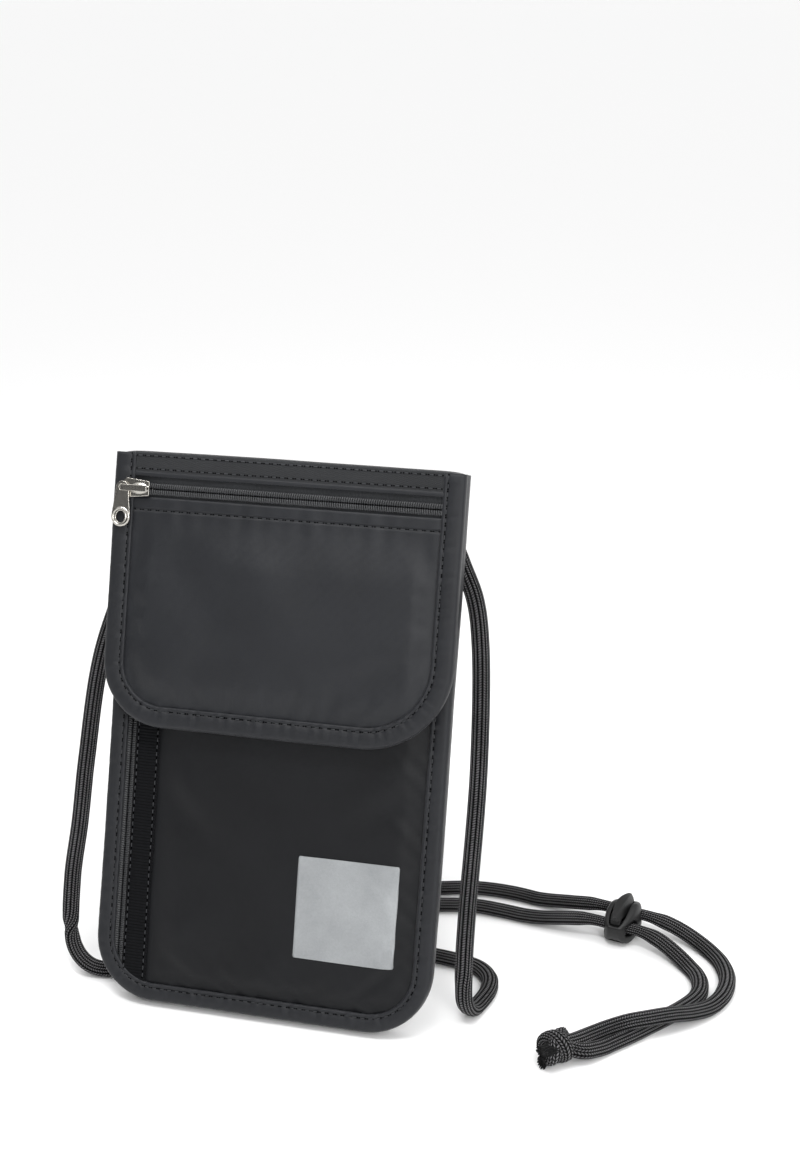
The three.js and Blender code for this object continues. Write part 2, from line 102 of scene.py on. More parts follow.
CORD_RIGHT_ROUTE = [
    (0.0575, 0.0314, 0.1797), (0.0588, 0.0298, 0.1744), (0.0630, 0.0274, 0.1652),
    (0.0690, 0.0234, 0.1528), (0.0722, 0.0184, 0.1374), (0.0750, 0.0042, 0.0938),
    (0.0746, -0.0126, 0.0414), (0.0748, -0.0176, 0.0264), (0.0753, -0.0204, 0.0174),
    (0.0757, -0.0208, 0.0112), (0.0766, -0.0184, 0.0062), (0.0779, -0.0144, 0.0032),
    (0.0812, -0.0012, 0.0022), (0.0802, 0.0068, 0.0022), (0.0754, 0.0128, 0.0022),
    (0.0676, 0.0158, 0.0022), (0.0460, 0.0190, 0.0022), (0.0215, 0.0226, 0.0022),
    (0.0124, 0.0264, 0.0022), (0.0086, 0.0355, 0.0022), (0.0124, 0.0446, 0.0022),
    (0.0215, 0.0484, 0.0022), (0.0370, 0.0512, 0.0022), (0.0510, 0.0550, 0.0022),
    (0.0650, 0.0574, 0.0022), (0.0790, 0.0560, 0.0023), (0.0916, 0.0536, 0.0034),
    (0.1142, 0.0505, 0.0075), (0.1250, 0.0482, 0.0075), (0.1348, 0.0461, 0.0075),
    (0.1430, 0.0426, 0.0062), (0.1568, 0.0302, 0.0024), (0.1599, 0.0216, 0.0022),
    (0.1587, 0.0122, 0.0022), (0.1402, -0.0122, 0.0022), (0.1292, -0.0240, 0.0025),
    (0.1250, -0.0286, 0.0034), (0.1205, -0.0326, 0.0049),
]
KNOT_AT = Vector((0.1123, -0.0342, 0.0066))
KNOT_AXIS = Vector((-0.74, -0.66, -0.06)).normalized()
WRAP_SIZE, END_SIZE, END_LENGTH = (0.0060, 0.0040), (0.0056, 0.0032), 0.0098
# Each wrap: turns, radius, first angle, travel along the pair, tilt. Each end: aside, up, direction.
KNOT_WRAPS = ((1.30, 0.0043, 0.9, 0.0044, 0.24), (0.75, 0.0038, 3.6, -0.0050, -0.62))
KNOT_ENDS = ((-0.0020, 0.0016, (-0.62, -0.76, 0.12)), (0.0028, -0.0020, (-0.30, -0.92, -0.16)))
LOCK = dict(at=(0.1263, 0.0541), turn=math.radians(-12), half_width=0.0118,
            middle=0.0067, rim=0.0119, top=0.0150, squeeze=0.24, reach=0.0150)

# ---- camera, floor and light ----------------------------------------------------------------
CAMERA = dict(azimuth=13.39, elevation=20.23, distance=0.5638, lens=49.87)
CAMERA_TARGET = Vector((0.04629, 0.0, 0.16789))
SKY = dict(horizon=(0.06, 0.06, 0.06), strength=1.80, right=0.38)


def direction(azimuth, elevation):
    """The unit vector from the object towards a viewer at that azimuth and elevation."""
    a, e = math.radians(azimuth), math.radians(elevation)
    return Vector((math.sin(a) * math.cos(e), -math.cos(a) * math.cos(e), math.sin(e)))


def aim(obj, target):
    obj.rotation_euler = (Vector(target) - obj.location).to_track_quat("-Z", "Y").to_euler()


def placed(name, data):
    """A new object of the scene."""
    obj = bpy.data.objects.new(name, data)
    bpy.context.scene.collection.objects.link(obj)
    return obj


def add_camera():
    data = bpy.data.cameras.new("camera")
    data.lens = CAMERA["lens"]
    data.sensor_width = 36
    camera = placed("camera", data)
    back = direction(CAMERA["azimuth"], CAMERA["elevation"])
    camera.location = CAMERA_TARGET + back * CAMERA["distance"]
    aim(camera, CAMERA_TARGET)
    data.clip_start = 0.01
    data.clip_end = 200
    bpy.context.scene.camera = camera


def add_area_light(name, azimuth, elevation, distance, size, power, target=(0.03, 0, 0.08)):
    data = bpy.data.lights.new(name, "AREA")
    data.shape = "RECTANGLE"
    data.size, data.size_y = size
    data.energy = power
    light = placed(name, data)
    light.location = Vector(target) + direction(azimuth, elevation) * distance
    aim(light, target)


def add_stage():
    """A white paper floor, three soft lights, and a sky that is dark low down and bright above."""
    world = bpy.data.worlds.new("studio")
    bpy.context.scene.world = world
    g = Graph(world, "Background")
    axes = g.parts(g.nodes.new("ShaderNodeTexCoord").outputs["Generated"])
    height = g.maths("MAXIMUM", axes["Z"], 0.0)
    lean = g.maths("MULTIPLY_ADD", axes["X"], SKY["right"], 0.0)
    shades = g.ramp(g.maths("MULTIPLY_ADD", height, height, lean), (0.0, SKY["horizon"]), (1.0, WHITE))
    skyline = g.ramp(height, (0.09, WHITE), (0.13, BLACK))
    g.paint(Color=g.mix(skyline, shades, WHITE), Strength=SKY["strength"])
    bpy.context.scene.view_settings.view_transform = "Standard"
    add_area_light("softbox", 30, 24, 0.62, (0.22, 0.30), 1.9, (0.06, 0.0, 0.15))
    add_area_light("top", -10, 66, 0.55, (0.34, 0.08), 1.9, (0.0, 0.0, 0.17))
    add_area_light("rim", -115, 35, 0.80, (0.20, 0.50), 0.6)
    reach = 90.0
    corners = [(-reach, -reach, 0), (reach, -reach, 0), (reach, reach, 0), (-reach, reach, 0)]
    floor = mesh_object("floor", corners, [(0, 1, 2, 3)])
    g = new_material("floor_paper")
    g.paint(Roughness=0.9, Specular_IOR_Level=0.1,
            Base_Color=g.ramp(g.noise(None, 3.0, 2), (0.3, (0.955, 0.955, 0.955)), (0.7, (0.97, 0.97, 0.97))))
    floor.data.materials.append(g.owner)


# ---- materials --------------------------------------------------------------------------------
class Graph:
    """The nodes of a material or a world. Each method adds a node and returns what it gives."""

    def __init__(self, owner, shader):
        owner.use_nodes = True
        self.owner, self.nodes, self.links = owner, owner.node_tree.nodes, owner.node_tree.links
        self.shader = self.nodes[shader]

    def feed(self, socket, value):
        """Links a socket, or sets its own value. A tuple of three is a colour."""
        if isinstance(value, bpy.types.NodeSocket):
            self.links.new(value, socket)
        elif isinstance(value, tuple):
            socket.default_value = (*value, 1)
        else:
            socket.default_value = value

    def paint(self, **inputs):
        """Feeds the shader's sockets, named with _ for a space."""
        for name, value in inputs.items():
            self.feed(self.shader.inputs[name.replace("_", " ")], value)

    def parts(self, vector):
        split = self.nodes.new("ShaderNodeSeparateXYZ")
        self.links.new(vector, split.inputs["Vector"])
        return split.outputs

    def place(self):
        return self.nodes.new("ShaderNodeTexCoord").outputs["Object"]

    def mapped(self, vector, setting, value):
        node = self.nodes.new("ShaderNodeMapping")
        node.inputs[setting].default_value = value
        self.links.new(vector, node.inputs["Vector"])
        return node.outputs["Vector"]

    def chart(self, name):
        """The two numbers of one of the mesh's UV maps."""
        node = self.nodes.new("ShaderNodeUVMap")
        node.uv_map = name
        split = self.parts(node.outputs["UV"])
        return split["X"], split["Y"]

    def noise(self, vector, scale, detail=3.0, rough=0.55):
        node = self.nodes.new("ShaderNodeTexNoise")
        for name, value in (("Scale", scale), ("Detail", detail), ("Roughness", rough)):
            node.inputs[name].default_value = value
        if vector is not None:
            self.links.new(vector, node.inputs["Vector"])
        return node.outputs["Fac"]

    def cells(self, vector, scale):
        node = self.nodes.new("ShaderNodeTexVoronoi")
        node.inputs["Scale"].default_value = scale
        self.links.new(vector, node.inputs["Vector"])
        return node.outputs["Distance"]

    def pointiness(self):
        return self.nodes.new("ShaderNodeNewGeometry").outputs["Pointiness"]

    def ramp(self, factor, *stops):
        node = self.nodes.new("ShaderNodeValToRGB")
        elements = node.color_ramp.elements
        while len(elements) < len(stops):
            elements.new(0.5)
        for element, (position, colour) in zip(elements, stops):
            element.position = position
            element.color = (*colour, 1)
        self.links.new(factor, node.inputs["Fac"])
        return node.outputs["Color"]

    def maths(self, operation, *values):
        node = self.nodes.new("ShaderNodeMath")
        node.operation = operation
        for socket, value in zip(node.inputs, values):
            self.feed(socket, value)
        return node.outputs[0]

    def mix(self, factor, first, second):
        node = self.nodes.new("ShaderNodeMix")
        node.data_type = "RGBA"
        for name, value in (("Factor", factor), ("A", first), ("B", second)):
            self.feed(node.inputs[name], value)
        return node.outputs["Result"]

    def wave(self, coordinate, rate):
        """Rounded threads, from 0 to 1: the size of a sine."""
        return self.maths("ABSOLUTE", self.maths("SINE", self.maths("MULTIPLY", coordinate, rate)))

    def bump(self, *layers):
        """Each layer is (height, distance in metres, strength)."""
        normal = None
        for height, distance, strength in layers:
            node = self.nodes.new("ShaderNodeBump")
            node.inputs["Distance"].default_value = distance
            node.inputs["Strength"].default_value = strength
            self.links.new(height, node.inputs["Height"])
            if normal is not None:
                self.links.new(normal, node.inputs["Normal"])
            normal = node.outputs["Normal"]
        self.links.new(normal, self.shader.inputs["Normal"])
        return self.owner


BLACK, WHITE = (0, 0, 0), (1, 1, 1)


def new_material(name):
    return Graph(bpy.data.materials.new(name), "Principled BSDF")


def pouch_axes(g):
    """Coordinates along the pouch's own width, depth and height, in metres."""
    vector = g.mapped(g.place(), "Rotation", (LEAN, 0, 0))
    return vector, g.parts(vector)


def woven(name, dark, light, pitch, rough, sheen, diagonal=False, depth=0.00006, wear=0.35, specular=0.28):
    """A woven cloth: crossed threads, cloudy colour, and paler worn edges. Its colour is darker in the gaps
    between the threads: painted shade.
    """
    g = new_material(name)
    vector, axes = pouch_axes(g)
    across, up = axes["X"], axes["Z"]
    if diagonal:
        across = g.maths("ADD", axes["X"], axes["Z"])
        up = g.maths("SUBTRACT", axes["Z"], g.maths("MULTIPLY", axes["X"], 0.4))
    threads = g.maths("MULTIPLY", g.wave(across, math.pi / pitch), g.wave(up, math.pi / (pitch * 1.15)))
    cloud = g.noise(vector, 38, 4)
    grain = g.noise(vector, 900, 3, 0.7)
    crease = g.noise(vector, 120, 5, 0.6)
    # Painted shade: the colour follows the threads' height, so it is darker in the gaps between them.
    tone = g.maths("MULTIPLY_ADD", threads, 0.45, g.maths("MULTIPLY", cloud, 0.55))
    colour = g.ramp(tone, (0.2, dark), (0.75, light))
    edge = g.ramp(g.pointiness(), (0.52, BLACK), (0.62, WHITE))
    worn = g.maths("MULTIPLY", edge, g.maths("MULTIPLY", grain, wear))
    pale = tuple(min(1, c * 1.9) for c in light)
    g.paint(Base_Color=g.mix(worn, colour, pale),
            Roughness=g.maths("MULTIPLY_ADD", grain, 0.16, rough - 0.08),
            Sheen_Weight=sheen, Sheen_Roughness=0.4, Specular_IOR_Level=specular)
    return g.bump((crease, 0.0006, 0.25), (threads, depth, 0.6), (grain, 0.00004, 0.4))


def ribbed(name, dark, light, pitch, along="Z", rough=0.75, specular=0.3):
    """Grosgrain: cross ribs with a fine thread along each rib. Its colour is darker in the valleys between
    the ribs: painted shade.
    """
    g = new_material(name)
    vector, axes = pouch_axes(g)
    ribs = g.wave(axes[along], math.pi / pitch)
    fine = g.wave(axes["X" if along == "Z" else "Z"], math.pi / (pitch * 0.4))
    cloud = g.noise(vector, 150, 4)
    height = g.maths("MULTIPLY_ADD", fine, 0.3, ribs)
    # Painted shade: the colour follows the ribs' height, so it is darker in the valleys between them.
    tone = g.maths("MULTIPLY_ADD", height, 0.5, g.maths("MULTIPLY", cloud, 0.4))
    g.paint(Base_Color=g.ramp(tone, (0.2, dark), (0.9, light)),
            Roughness=g.maths("MULTIPLY_ADD", cloud, 0.2, rough - 0.1),
            Sheen_Weight=0.02, Specular_IOR_Level=specular)
    return g.bump((height, 0.00018, 0.8))


def sewn(name, shaded_hole, dark, light):
    """Sewing thread with its needle holes, whose dark colour is painted shade. The map runs from 0 in a hole
    to 1 on the thread.
    """
    g = new_material(name)
    twist = g.noise(g.place(), 2600, 3, 0.7)
    colour = g.ramp(twist, (0.3, dark), (0.7, light))
    # depth is 0 in the needle holes and at the thread's ends, which take the holes' painted shade.
    depth = g.ramp(g.chart("stitch")[0], (0.35, BLACK), (0.75, WHITE))
    g.paint(Base_Color=g.mix(depth, shaded_hole, colour), Roughness=g.maths("MULTIPLY_ADD", twist, 0.2, 0.6),
            Specular_IOR_Level=g.maths("MULTIPLY", depth, 0.3))
    return g.bump((twist, 0.0001, 0.5))


def pile(name, dark, light, sheen=0.35, specular=0.3):
    """The matted fibre of a hook and loop patch, or of a cord's cut end."""
    g = new_material(name)
    vector, _ = pouch_axes(g)
    fibre = g.noise(vector, 1500, 6, 0.8)
    curl = g.cells(vector, 900)
    g.paint(Base_Color=g.ramp(fibre, (0.25, dark), (0.8, light)),
            Roughness=g.maths("MULTIPLY_ADD", fibre, 0.1, 0.85),
            Sheen_Weight=sheen, Specular_IOR_Level=specular)
    return g.bump((curl, 0.0004, 0.8), (fibre, 0.0003, 0.6))


def braid(name, dark, light):
    """A tubular braid. The map runs in stitches along the cord and in columns around it."""
    g = new_material(name)
    along, around = g.chart("braid")
    column = g.maths("FLOOR", around)
    side = g.maths("MULTIPLY_ADD", g.maths("FLOORED_MODULO", column, 2.0), 2.0, -1.0)
    within = g.maths("SUBTRACT", around, g.maths("ADD", column, 0.5))
    slant = g.maths("MULTIPLY_ADD", g.maths("MULTIPLY", within, side), 1.1, along)
    height = g.maths("MULTIPLY", g.maths("POWER", g.wave(slant, math.pi), 1.1),
                     g.maths("POWER", g.wave(around, math.pi), 1.2))
    place = g.place()
    speckle = g.noise(place, 1400, 3, 0.7)
    cloud = g.noise(place, 60, 3)
    # Painted shade: the colour follows the stitches' height, so it is dark in the grooves between them; on
    # their crowns speckle and cloud fleck it paler.
    fleck_and_groove_shade = g.maths("MULTIPLY", height,
                    g.maths("MULTIPLY_ADD", speckle, 0.9, g.maths("MULTIPLY", cloud, 0.5)))
    middle = tuple(0.22 * (a + b) for a, b in zip(dark, light))
    g.paint(Base_Color=g.ramp(fleck_and_groove_shade, (0.16, dark), (0.42, middle), (0.72, light)),
            Roughness=g.maths("MULTIPLY_ADD", speckle, 0.2, 0.55),
            Specular_IOR_Level=g.maths("MULTIPLY", height, 0.35),
            Sheen_Weight=g.maths("MULTIPLY", height, 0.2))
    return g.bump((height, 0.00045, 1.0), (speckle, 0.0001, 0.4))


def cast_metal(name, base, rough):
    """Plated die-cast metal: small scratches, cloudy gloss, and painted shade that darkens its recesses."""
    g = new_material(name)
    place = g.place()
    scratches = g.noise(g.mapped(place, "Scale", (1, 1, 7)), 900, 4, 0.75)
    cloud = g.noise(place, 250, 3)
    # Painted shade: the colour goes dark where the surface is hollow.
    recess_shade = g.ramp(g.pointiness(), (0.42, tuple(c * 0.25 for c in base)), (0.52, base))
    dull = g.ramp(cloud, (0.45, BLACK), (0.75, (0.7, 0.7, 0.7)))
    g.paint(Base_Color=g.mix(dull, recess_shade, tuple(c * 0.72 for c in base)), Metallic=1.0,
            Roughness=g.maths("MULTIPLY_ADD", scratches, 0.2, rough - 0.08))
    return g.bump((scratches, 0.00003, 0.5), (cloud, 0.0001, 0.4))


def moulded(name, dark, light, rough, specular=0.5):
    """Moulded plastic: a fine spark-eroded grain, and a painted highlight that makes its convex edges paler.
    """
    g = new_material(name)
    place = g.place()
    grain = g.noise(place, 2600, 3, 0.6)
    cloud = g.noise(place, 160, 3)
    # Painted highlight: the colour is paler on convex edges.
    g.paint(Base_Color=g.mix(cloud, g.ramp(g.pointiness(), (0.5, dark), (0.62, light)), dark),
            Roughness=g.maths("MULTIPLY_ADD", grain, 0.22, rough - 0.11), Specular_IOR_Level=specular)
    return g.bump((grain, 0.00004, 0.5))


def beaded(name, dark, light):
    """Reflective cloth: a skin of tiny glass beads over a cloudy silver ground."""
    g = new_material(name)
    vector, _ = pouch_axes(g)
    beads = g.cells(vector, 2600)
    cloud = g.noise(vector, 70, 5, 0.65)
    fine = g.noise(vector, 1200, 3, 0.7)
    tone = g.maths("MULTIPLY_ADD", fine, 0.35, g.maths("MULTIPLY", cloud, 0.65))
    g.paint(Base_Color=g.ramp(tone, (0.3, dark), (0.7, light)), Metallic=0.25,
            Roughness=g.maths("MULTIPLY_ADD", fine, 0.2, 0.42))
    return g.bump((beads, 0.00006, 0.6), (cloud, 0.0003, 0.3))


SHELL = woven("shell_cloth", (0.0060, 0.0066, 0.0084), (0.0135, 0.0146, 0.0176), 0.00034, 0.44, 0.06)
# The front panel's cloth is a darker copy of the shell cloth: painted shade on the lower body.
SHADED_FRONT = woven("front_cloth_painted_shade", (0.0022, 0.0024, 0.0031), (0.0055, 0.0060, 0.0075), 0.00034, 0.46, 0.03,
              specular=0.20)
BAND = woven("band_cloth", (0.0055, 0.0060, 0.0076), (0.0130, 0.0140, 0.0170), 0.00034, 0.46, 0.06, wear=0.5)
BACKING = woven("back_cloth", (0.0085, 0.0090, 0.0100), (0.0180, 0.0190, 0.0210), 0.00048, 0.62, 0.15)
LINING = woven("lining_cloth", (0.0070, 0.0075, 0.0085), (0.0140, 0.0150, 0.0170), 0.00026, 0.55, 0.1)
STRIP = woven("strip_cloth", (0.0080, 0.0086, 0.0096), (0.0190, 0.0200, 0.0222), 0.00065, 0.7, 0.15,
              True, 0.00012)
TAPE = ribbed("zip_tape_weave", (0.0085, 0.0092, 0.0105), (0.0200, 0.0215, 0.0240), 0.0005, "X")
# The pocket zip's tape: the same tape with its ribs upright, made darker as painted shade on the lower body.
SHADED_TAPE_UPRIGHT = ribbed("zip_tape_weave_upright_painted_shade", (0.0050, 0.0052, 0.0060), (0.0120, 0.0125, 0.0140),
                      0.0005, "Z")
RIBBON_WEAVE = ribbed("ribbon_weave", (0.0004, 0.0004, 0.0006), (0.0042, 0.0045, 0.0056),
                      RIB_PITCH, "Z", 0.75, 0.08)
THREAD = sewn("thread", (0.0006, 0.0006, 0.0007), (0.0200, 0.0210, 0.0230), (0.0420, 0.0440, 0.0480))
PILE = pile("pile", (0.004, 0.004, 0.0045), (0.020, 0.020, 0.022))
COIL = moulded("coil_nylon", (0.0150, 0.0155, 0.0170), (0.0420, 0.0435, 0.0465), 0.42)
METAL = cast_metal("nickel", (0.52, 0.50, 0.46), 0.20)
BRAID = braid("cord_braid", (0.0012, 0.0012, 0.0014), (0.150, 0.147, 0.155))
FRAYED = pile("cord_cut_end", (0.0006, 0.0006, 0.0007), (0.0065, 0.0065, 0.0070), 0.05, 0.1)
PLASTIC = moulded("lock_acetal", (0.0028, 0.0029, 0.0031), (0.0110, 0.0113, 0.0120), 0.44, 0.36)
SILVER = beaded("reflective_beads", (0.215, 0.225, 0.232), (0.300, 0.312, 0.320))
STEEL = cast_metal("spring_wire", (0.50, 0.51, 0.53), 0.28)


# ---- meshes -------------------------------------------------------------------------------------
def mesh_object(name, vertices, faces, smooth=False):
    mesh = bpy.data.meshes.new(name)
    mesh.from_pydata([tuple(v) for v in vertices], [], [tuple(f) for f in faces])
    mesh.update()
    obj = placed(name, mesh)
    if smooth:
        mesh.polygons.foreach_set("use_smooth", [True] * len(mesh.polygons))
    return obj


TURN = np.array(Matrix.Rotation(-LEAN, 3, "X"))
HINGE = next(joint for joint in frame["joints"] if joint["name"] == "flap_hinge")
ORIGIN = np.array(HINGE["pos_m"]) - TURN @ np.array(HINGE_AT)


def to_row(points):
    """Points of the pouch's upright frame, moved to the model's frame."""
    return np.asarray(points, float) @ TURN.T + ORIGIN


def outward(obj):
    work = bmesh.new()
    work.from_mesh(obj.data)
    bmesh.ops.recalc_face_normals(work, faces=work.faces)
    work.to_mesh(obj.data)
    work.free()


def closed(name, vertices, faces):
    """A smooth closed mesh whose faces point outwards."""
    obj = mesh_object(name, vertices, faces, True)
    outward(obj)
    return obj


def finish_piece(obj, body, slot, material, *nodes):
    """Gives a piece its material, the CAD nodes that it stands for, and its body. The slot is not used."""
    obj.data.materials.clear()
    obj.data.materials.append(material)
    if nodes:
        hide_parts(*nodes)
    if body is not None:
        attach(obj, body)
    return obj


def distances(points):
    """How far along its line each point lies."""
    return np.concatenate([[0], np.cumsum(np.linalg.norm(np.diff(points, axis=0), axis=1))])


def grid_faces(rows, columns, start=0, wrap=False):
    """Quads between rows of vertices; wrap joins the last column to the first."""
    faces = []
    for i in range(rows - 1):
        for j in range(columns if wrap else columns - 1):
            k = (j + 1) % columns
            a, b = start + i * columns, start + (i + 1) * columns
            faces.append((a + j, a + k, b + k, b + j))
    return faces


def end_caps(rows, columns, start=0):
    """The two faces that close the ends of a wrapped grid."""
    last = start + (rows - 1) * columns
    return [tuple(range(start, start + columns)), tuple(last + j for j in reversed(range(columns)))]


def smooth_noise(seed, count=9, lowest=25.0, highest=140.0):
    """A smooth repeatable function of (x, z): a sum of plane waves, from about -1 to 1."""
    rng = np.random.default_rng(seed)
    turns = rng.uniform(0, math.pi, count)
    rates = np.geomspace(lowest, highest, count)
    phases = rng.uniform(0, 2 * math.pi, count)
    weights = rates[0] / rates

    def value(x, z):
        total = 0
        for turn, rate, phase, weight in zip(turns, rates, phases, weights):
            total = total + weight * np.sin(rate * (x * math.cos(turn) + z * math.sin(turn)) + phase)
        return total / weights.sum()
    return value


# ---- cloth --------------------------------------------------------------------------------------
SIM_SCALE = 10.0                  # the cloth is simulated at ten times its size
SIM_FRAMES = 22


def settle_cloth(width, height, grow, pressure, seed, cap):
    """The relief of a cloth panel that is a little larger than the seam that holds it.
    Returns a function of (u, v), each from 0 to 1, that says how far the cloth stands proud."""
    columns, rows = 64, max(24, int(64 * height / width))
    noise = smooth_noise(seed, 8, 6.0, 40.0)
    u, v = np.meshgrid(np.linspace(0, 1, columns), np.linspace(0, 1, rows))
    bulge = (np.sin(math.pi * u) * np.sin(math.pi * v)) ** 0.6
    start = 0.0006 * bulge * (1 + noise(u, v))
    x, z = u * width * SIM_SCALE, v * height * SIM_SCALE
    vertices = np.stack([x, -start * SIM_SCALE, z], -1).reshape(-1, 3)
    sheet = mesh_object("cloth_work", vertices, grid_faces(rows, columns))
    pins = sheet.vertex_groups.new(name="pins")
    rim = [i * columns + j for i in range(rows) for j in range(columns)
           if i in (0, rows - 1) or j in (0, columns - 1)]
    pins.add(rim, 1.0, "REPLACE")
    cloth = sheet.modifiers.new("cloth", "CLOTH")
    settings = cloth.settings
    settings.quality = 6
    settings.mass = 0.2
    settings.tension_stiffness = 18
    settings.compression_stiffness = 18
    settings.shear_stiffness = 8
    settings.bending_stiffness = 0.35
    settings.air_damping = 4
    settings.vertex_group_mass = "pins"
    settings.shrink_min = -grow
    settings.use_pressure = True
    settings.uniform_pressure_force = pressure
    settings.effector_weights.gravity = 0
    cloth.collision_settings.use_collision = False
    scene = bpy.context.scene
    first, last = scene.frame_start, scene.frame_end
    scene.frame_end = SIM_FRAMES
    cloth.point_cache.frame_start, cloth.point_cache.frame_end = 1, SIM_FRAMES
    for step in range(1, SIM_FRAMES + 1):
        scene.frame_set(step)
    result = sheet.evaluated_get(bpy.context.evaluated_depsgraph_get()).data
    co = np.zeros(len(result.vertices) * 3)
    result.vertices.foreach_get("co", co)
    relief = -co.reshape(rows, columns, 3)[:, :, 1] / SIM_SCALE
    bpy.data.objects.remove(sheet)
    scene.frame_start, scene.frame_end = first, last
    scene.frame_set(1)
    return grid_sampler(np.clip(relief, -0.25 * cap, cap))


def eased(t):
    """A share from 0 to 1, with a soft start and a soft end."""
    return t * t * (3 - 2 * t)


def grid_sampler(values):
    rows, columns = values.shape

    def sample(u, v):
        a = np.clip(np.asarray(u, float), 0, 1) * (columns - 1)
        b = np.clip(np.asarray(v, float), 0, 1) * (rows - 1)
        i, j = np.minimum(b.astype(int), rows - 2), np.minimum(a.astype(int), columns - 2)
        s, t = eased(a - j), eased(b - i)
        low = values[i, j] * (1 - s) + values[i, j + 1] * s
        high = values[i + 1, j] * (1 - s) + values[i + 1, j + 1] * s
        return low * (1 - t) + high * t
    return sample


def u_edges(shape, inset, z):
    """The left and right edge, at height z, of a U outline with round lower corners."""
    half = shape["half"] - inset
    bottom = shape["bottom"] + inset
    edges = []
    for radius in (shape["left"] - inset, shape["right"] - inset):
        rise = np.clip(radius - (z - bottom), 0, radius)
        edges.append(half - radius + np.sqrt(np.maximum(radius ** 2 - rise ** 2, 0)))
    return -edges[0], edges[1]


def u_levels(shape, inset, top, step):
    """Heights from the bottom to the top: close together around the lower corners."""
    bottom = shape["bottom"] + inset
    radius = max(shape["left"], shape["right"]) - inset
    turns = np.linspace(0, math.pi / 2, 22)
    straight = np.arange(bottom + radius, top, step)[1:]
    return np.concatenate([bottom + radius * (1 - np.cos(turns)), straight, [top]])


def two_sided(name, vertices, rows, columns):
    """A closed sheet from two grids of vertices, one behind the other, joined round the rim."""
    count = rows * columns
    faces = grid_faces(rows, columns)
    faces += [tuple(count + i for i in reversed(face)) for face in faces]
    rim = list(range(columns)) + [i * columns + columns - 1 for i in range(1, rows)]
    rim += [(rows - 1) * columns + j for j in reversed(range(columns - 1))]
    rim += [i * columns for i in reversed(range(1, rows - 1))]
    faces += [(b, a, count + a, count + b) for a, b in zip(rim, rim[1:] + rim[:1])]
    return closed(name, to_row(vertices), faces)


def cloth_slab(name, levels, edges, columns, front, thickness):
    """A closed sheet: its front follows front(x, z), and its back lies one thickness behind."""
    rows = len(levels)
    left, right = edges(levels)
    share = np.linspace(0, 1, columns)
    x = left[:, None] + (right - left)[:, None] * share[None, :]
    z = np.repeat(levels[:, None], columns, 1)
    y = front(x, z)
    shell = np.stack([x, y, z], -1).reshape(-1, 3)
    back = np.stack([x, y + thickness, z], -1).reshape(-1, 3)
    return two_sided(name, np.concatenate([shell, back]), rows, columns)


def soft_folds(folds):
    """Broad valleys and ridges, each (x, z, angle, length, width, depth): a ridge if depth is
    above zero. Returns how far they stand proud at (x, z)."""
    def value(x, z):
        total = 0
        for at_x, at_z, angle, length, width, depth in folds:
            run = (x - at_x) * math.cos(angle) + (z - at_z) * math.sin(angle)
            off = (z - at_z) * math.cos(angle) - (x - at_x) * math.sin(angle)
            total = total + depth * np.exp(-(run / length) ** 2 - (off / width) ** 2)
        return total
    return value


def seam_puckers(seed, amount, reach, pitch):
    """Small ripples that run away from a seam and fade over reach metres."""
    rng = np.random.default_rng(seed)
    phases = rng.uniform(0, 2 * math.pi, 4)

    def value(along, distance):
        ripple = sum(np.sin(2 * math.pi * along / (pitch * k) + p) / k
                     for k, p in zip((0.7, 1.0, 1.7, 2.9), phases))
        return amount * ripple * np.exp(-(np.maximum(distance, 0) / reach) ** 1.3)
    return value


# ---- bindings -----------------------------------------------------------------------------------
def u_path(shape, step, top=None):
    """Points (x, z) down the left side, round the bottom and up the right side, with their
    inward directions and their distances along the path."""
    top = shape["top"] if top is None else top
    half, bottom, left, right = shape["half"], shape["bottom"], shape["left"], shape["right"]
    points, inward = [], []

    def line(start, end, normal):
        count = max(2, int(math.dist(start, end) / step))
        for t in np.arange(count) / count:
            points.append((start[0] + (end[0] - start[0]) * t, start[1] + (end[1] - start[1]) * t))
            inward.append(normal)

    def arc(centre, radius, start):
        count = max(8, int(radius * math.pi / 2 / step))
        for t in np.arange(count) / count:
            angle = start + t * math.pi / 2
            points.append((centre[0] + radius * math.cos(angle), centre[1] + radius * math.sin(angle)))
            inward.append((-math.cos(angle), -math.sin(angle)))

    line((-half, top), (-half, bottom + left), (1, 0))
    arc((-half + left, bottom + left), left, math.pi)
    line((-half + left, bottom), (half - right, bottom), (0, 1))
    arc((half - right, bottom + right), right, 1.5 * math.pi)
    line((half, bottom + right), (half, top), (-1, 0))
    points.append((half, top))
    inward.append((-1, 0))
    points = np.array(points)
    return points, np.array(inward), distances(points)


def rolled_section(band, front, back, panel_front, panel_back, seam):
    """The section of a folded binding, as (distance in from the edge, depth). It is a C whose
    lips are rolled under and whose faces dip where they are sewn."""
    wall = 0.0007
    depth = back - front
    face = []
    for n, sink in ((band, 0.55), (band - 0.0002, 0.2), (band - 0.0007, 0.04), (seam + 0.0006, 0.03),
                    (seam + 0.0002, 0.25), (seam, 0.4), (seam - 0.0002, 0.25), (seam - 0.0007, 0.02),
                    (seam * 0.6, -0.16), (seam * 0.35, -0.12), (seam * 0.2, 0.02)):
        face.append((n, sink * 0.001))
    outer = [(n, front + sink) for n, sink in face]
    turns = np.linspace(0, math.pi, 9)[1:-1]
    lip = 0.0009
    edge = [(lip * (1 - math.sin(t)), front + depth / 2 - (depth / 2 - 0.0002) * math.cos(t)) for t in turns]
    rear = [(n, back - sink) for n, sink in reversed(face)]
    lap = band - 0.0001
    inner = [(lap, panel_back), (wall, panel_back), (wall, panel_front), (lap, panel_front)]
    return np.array(outer + edge + rear + inner)


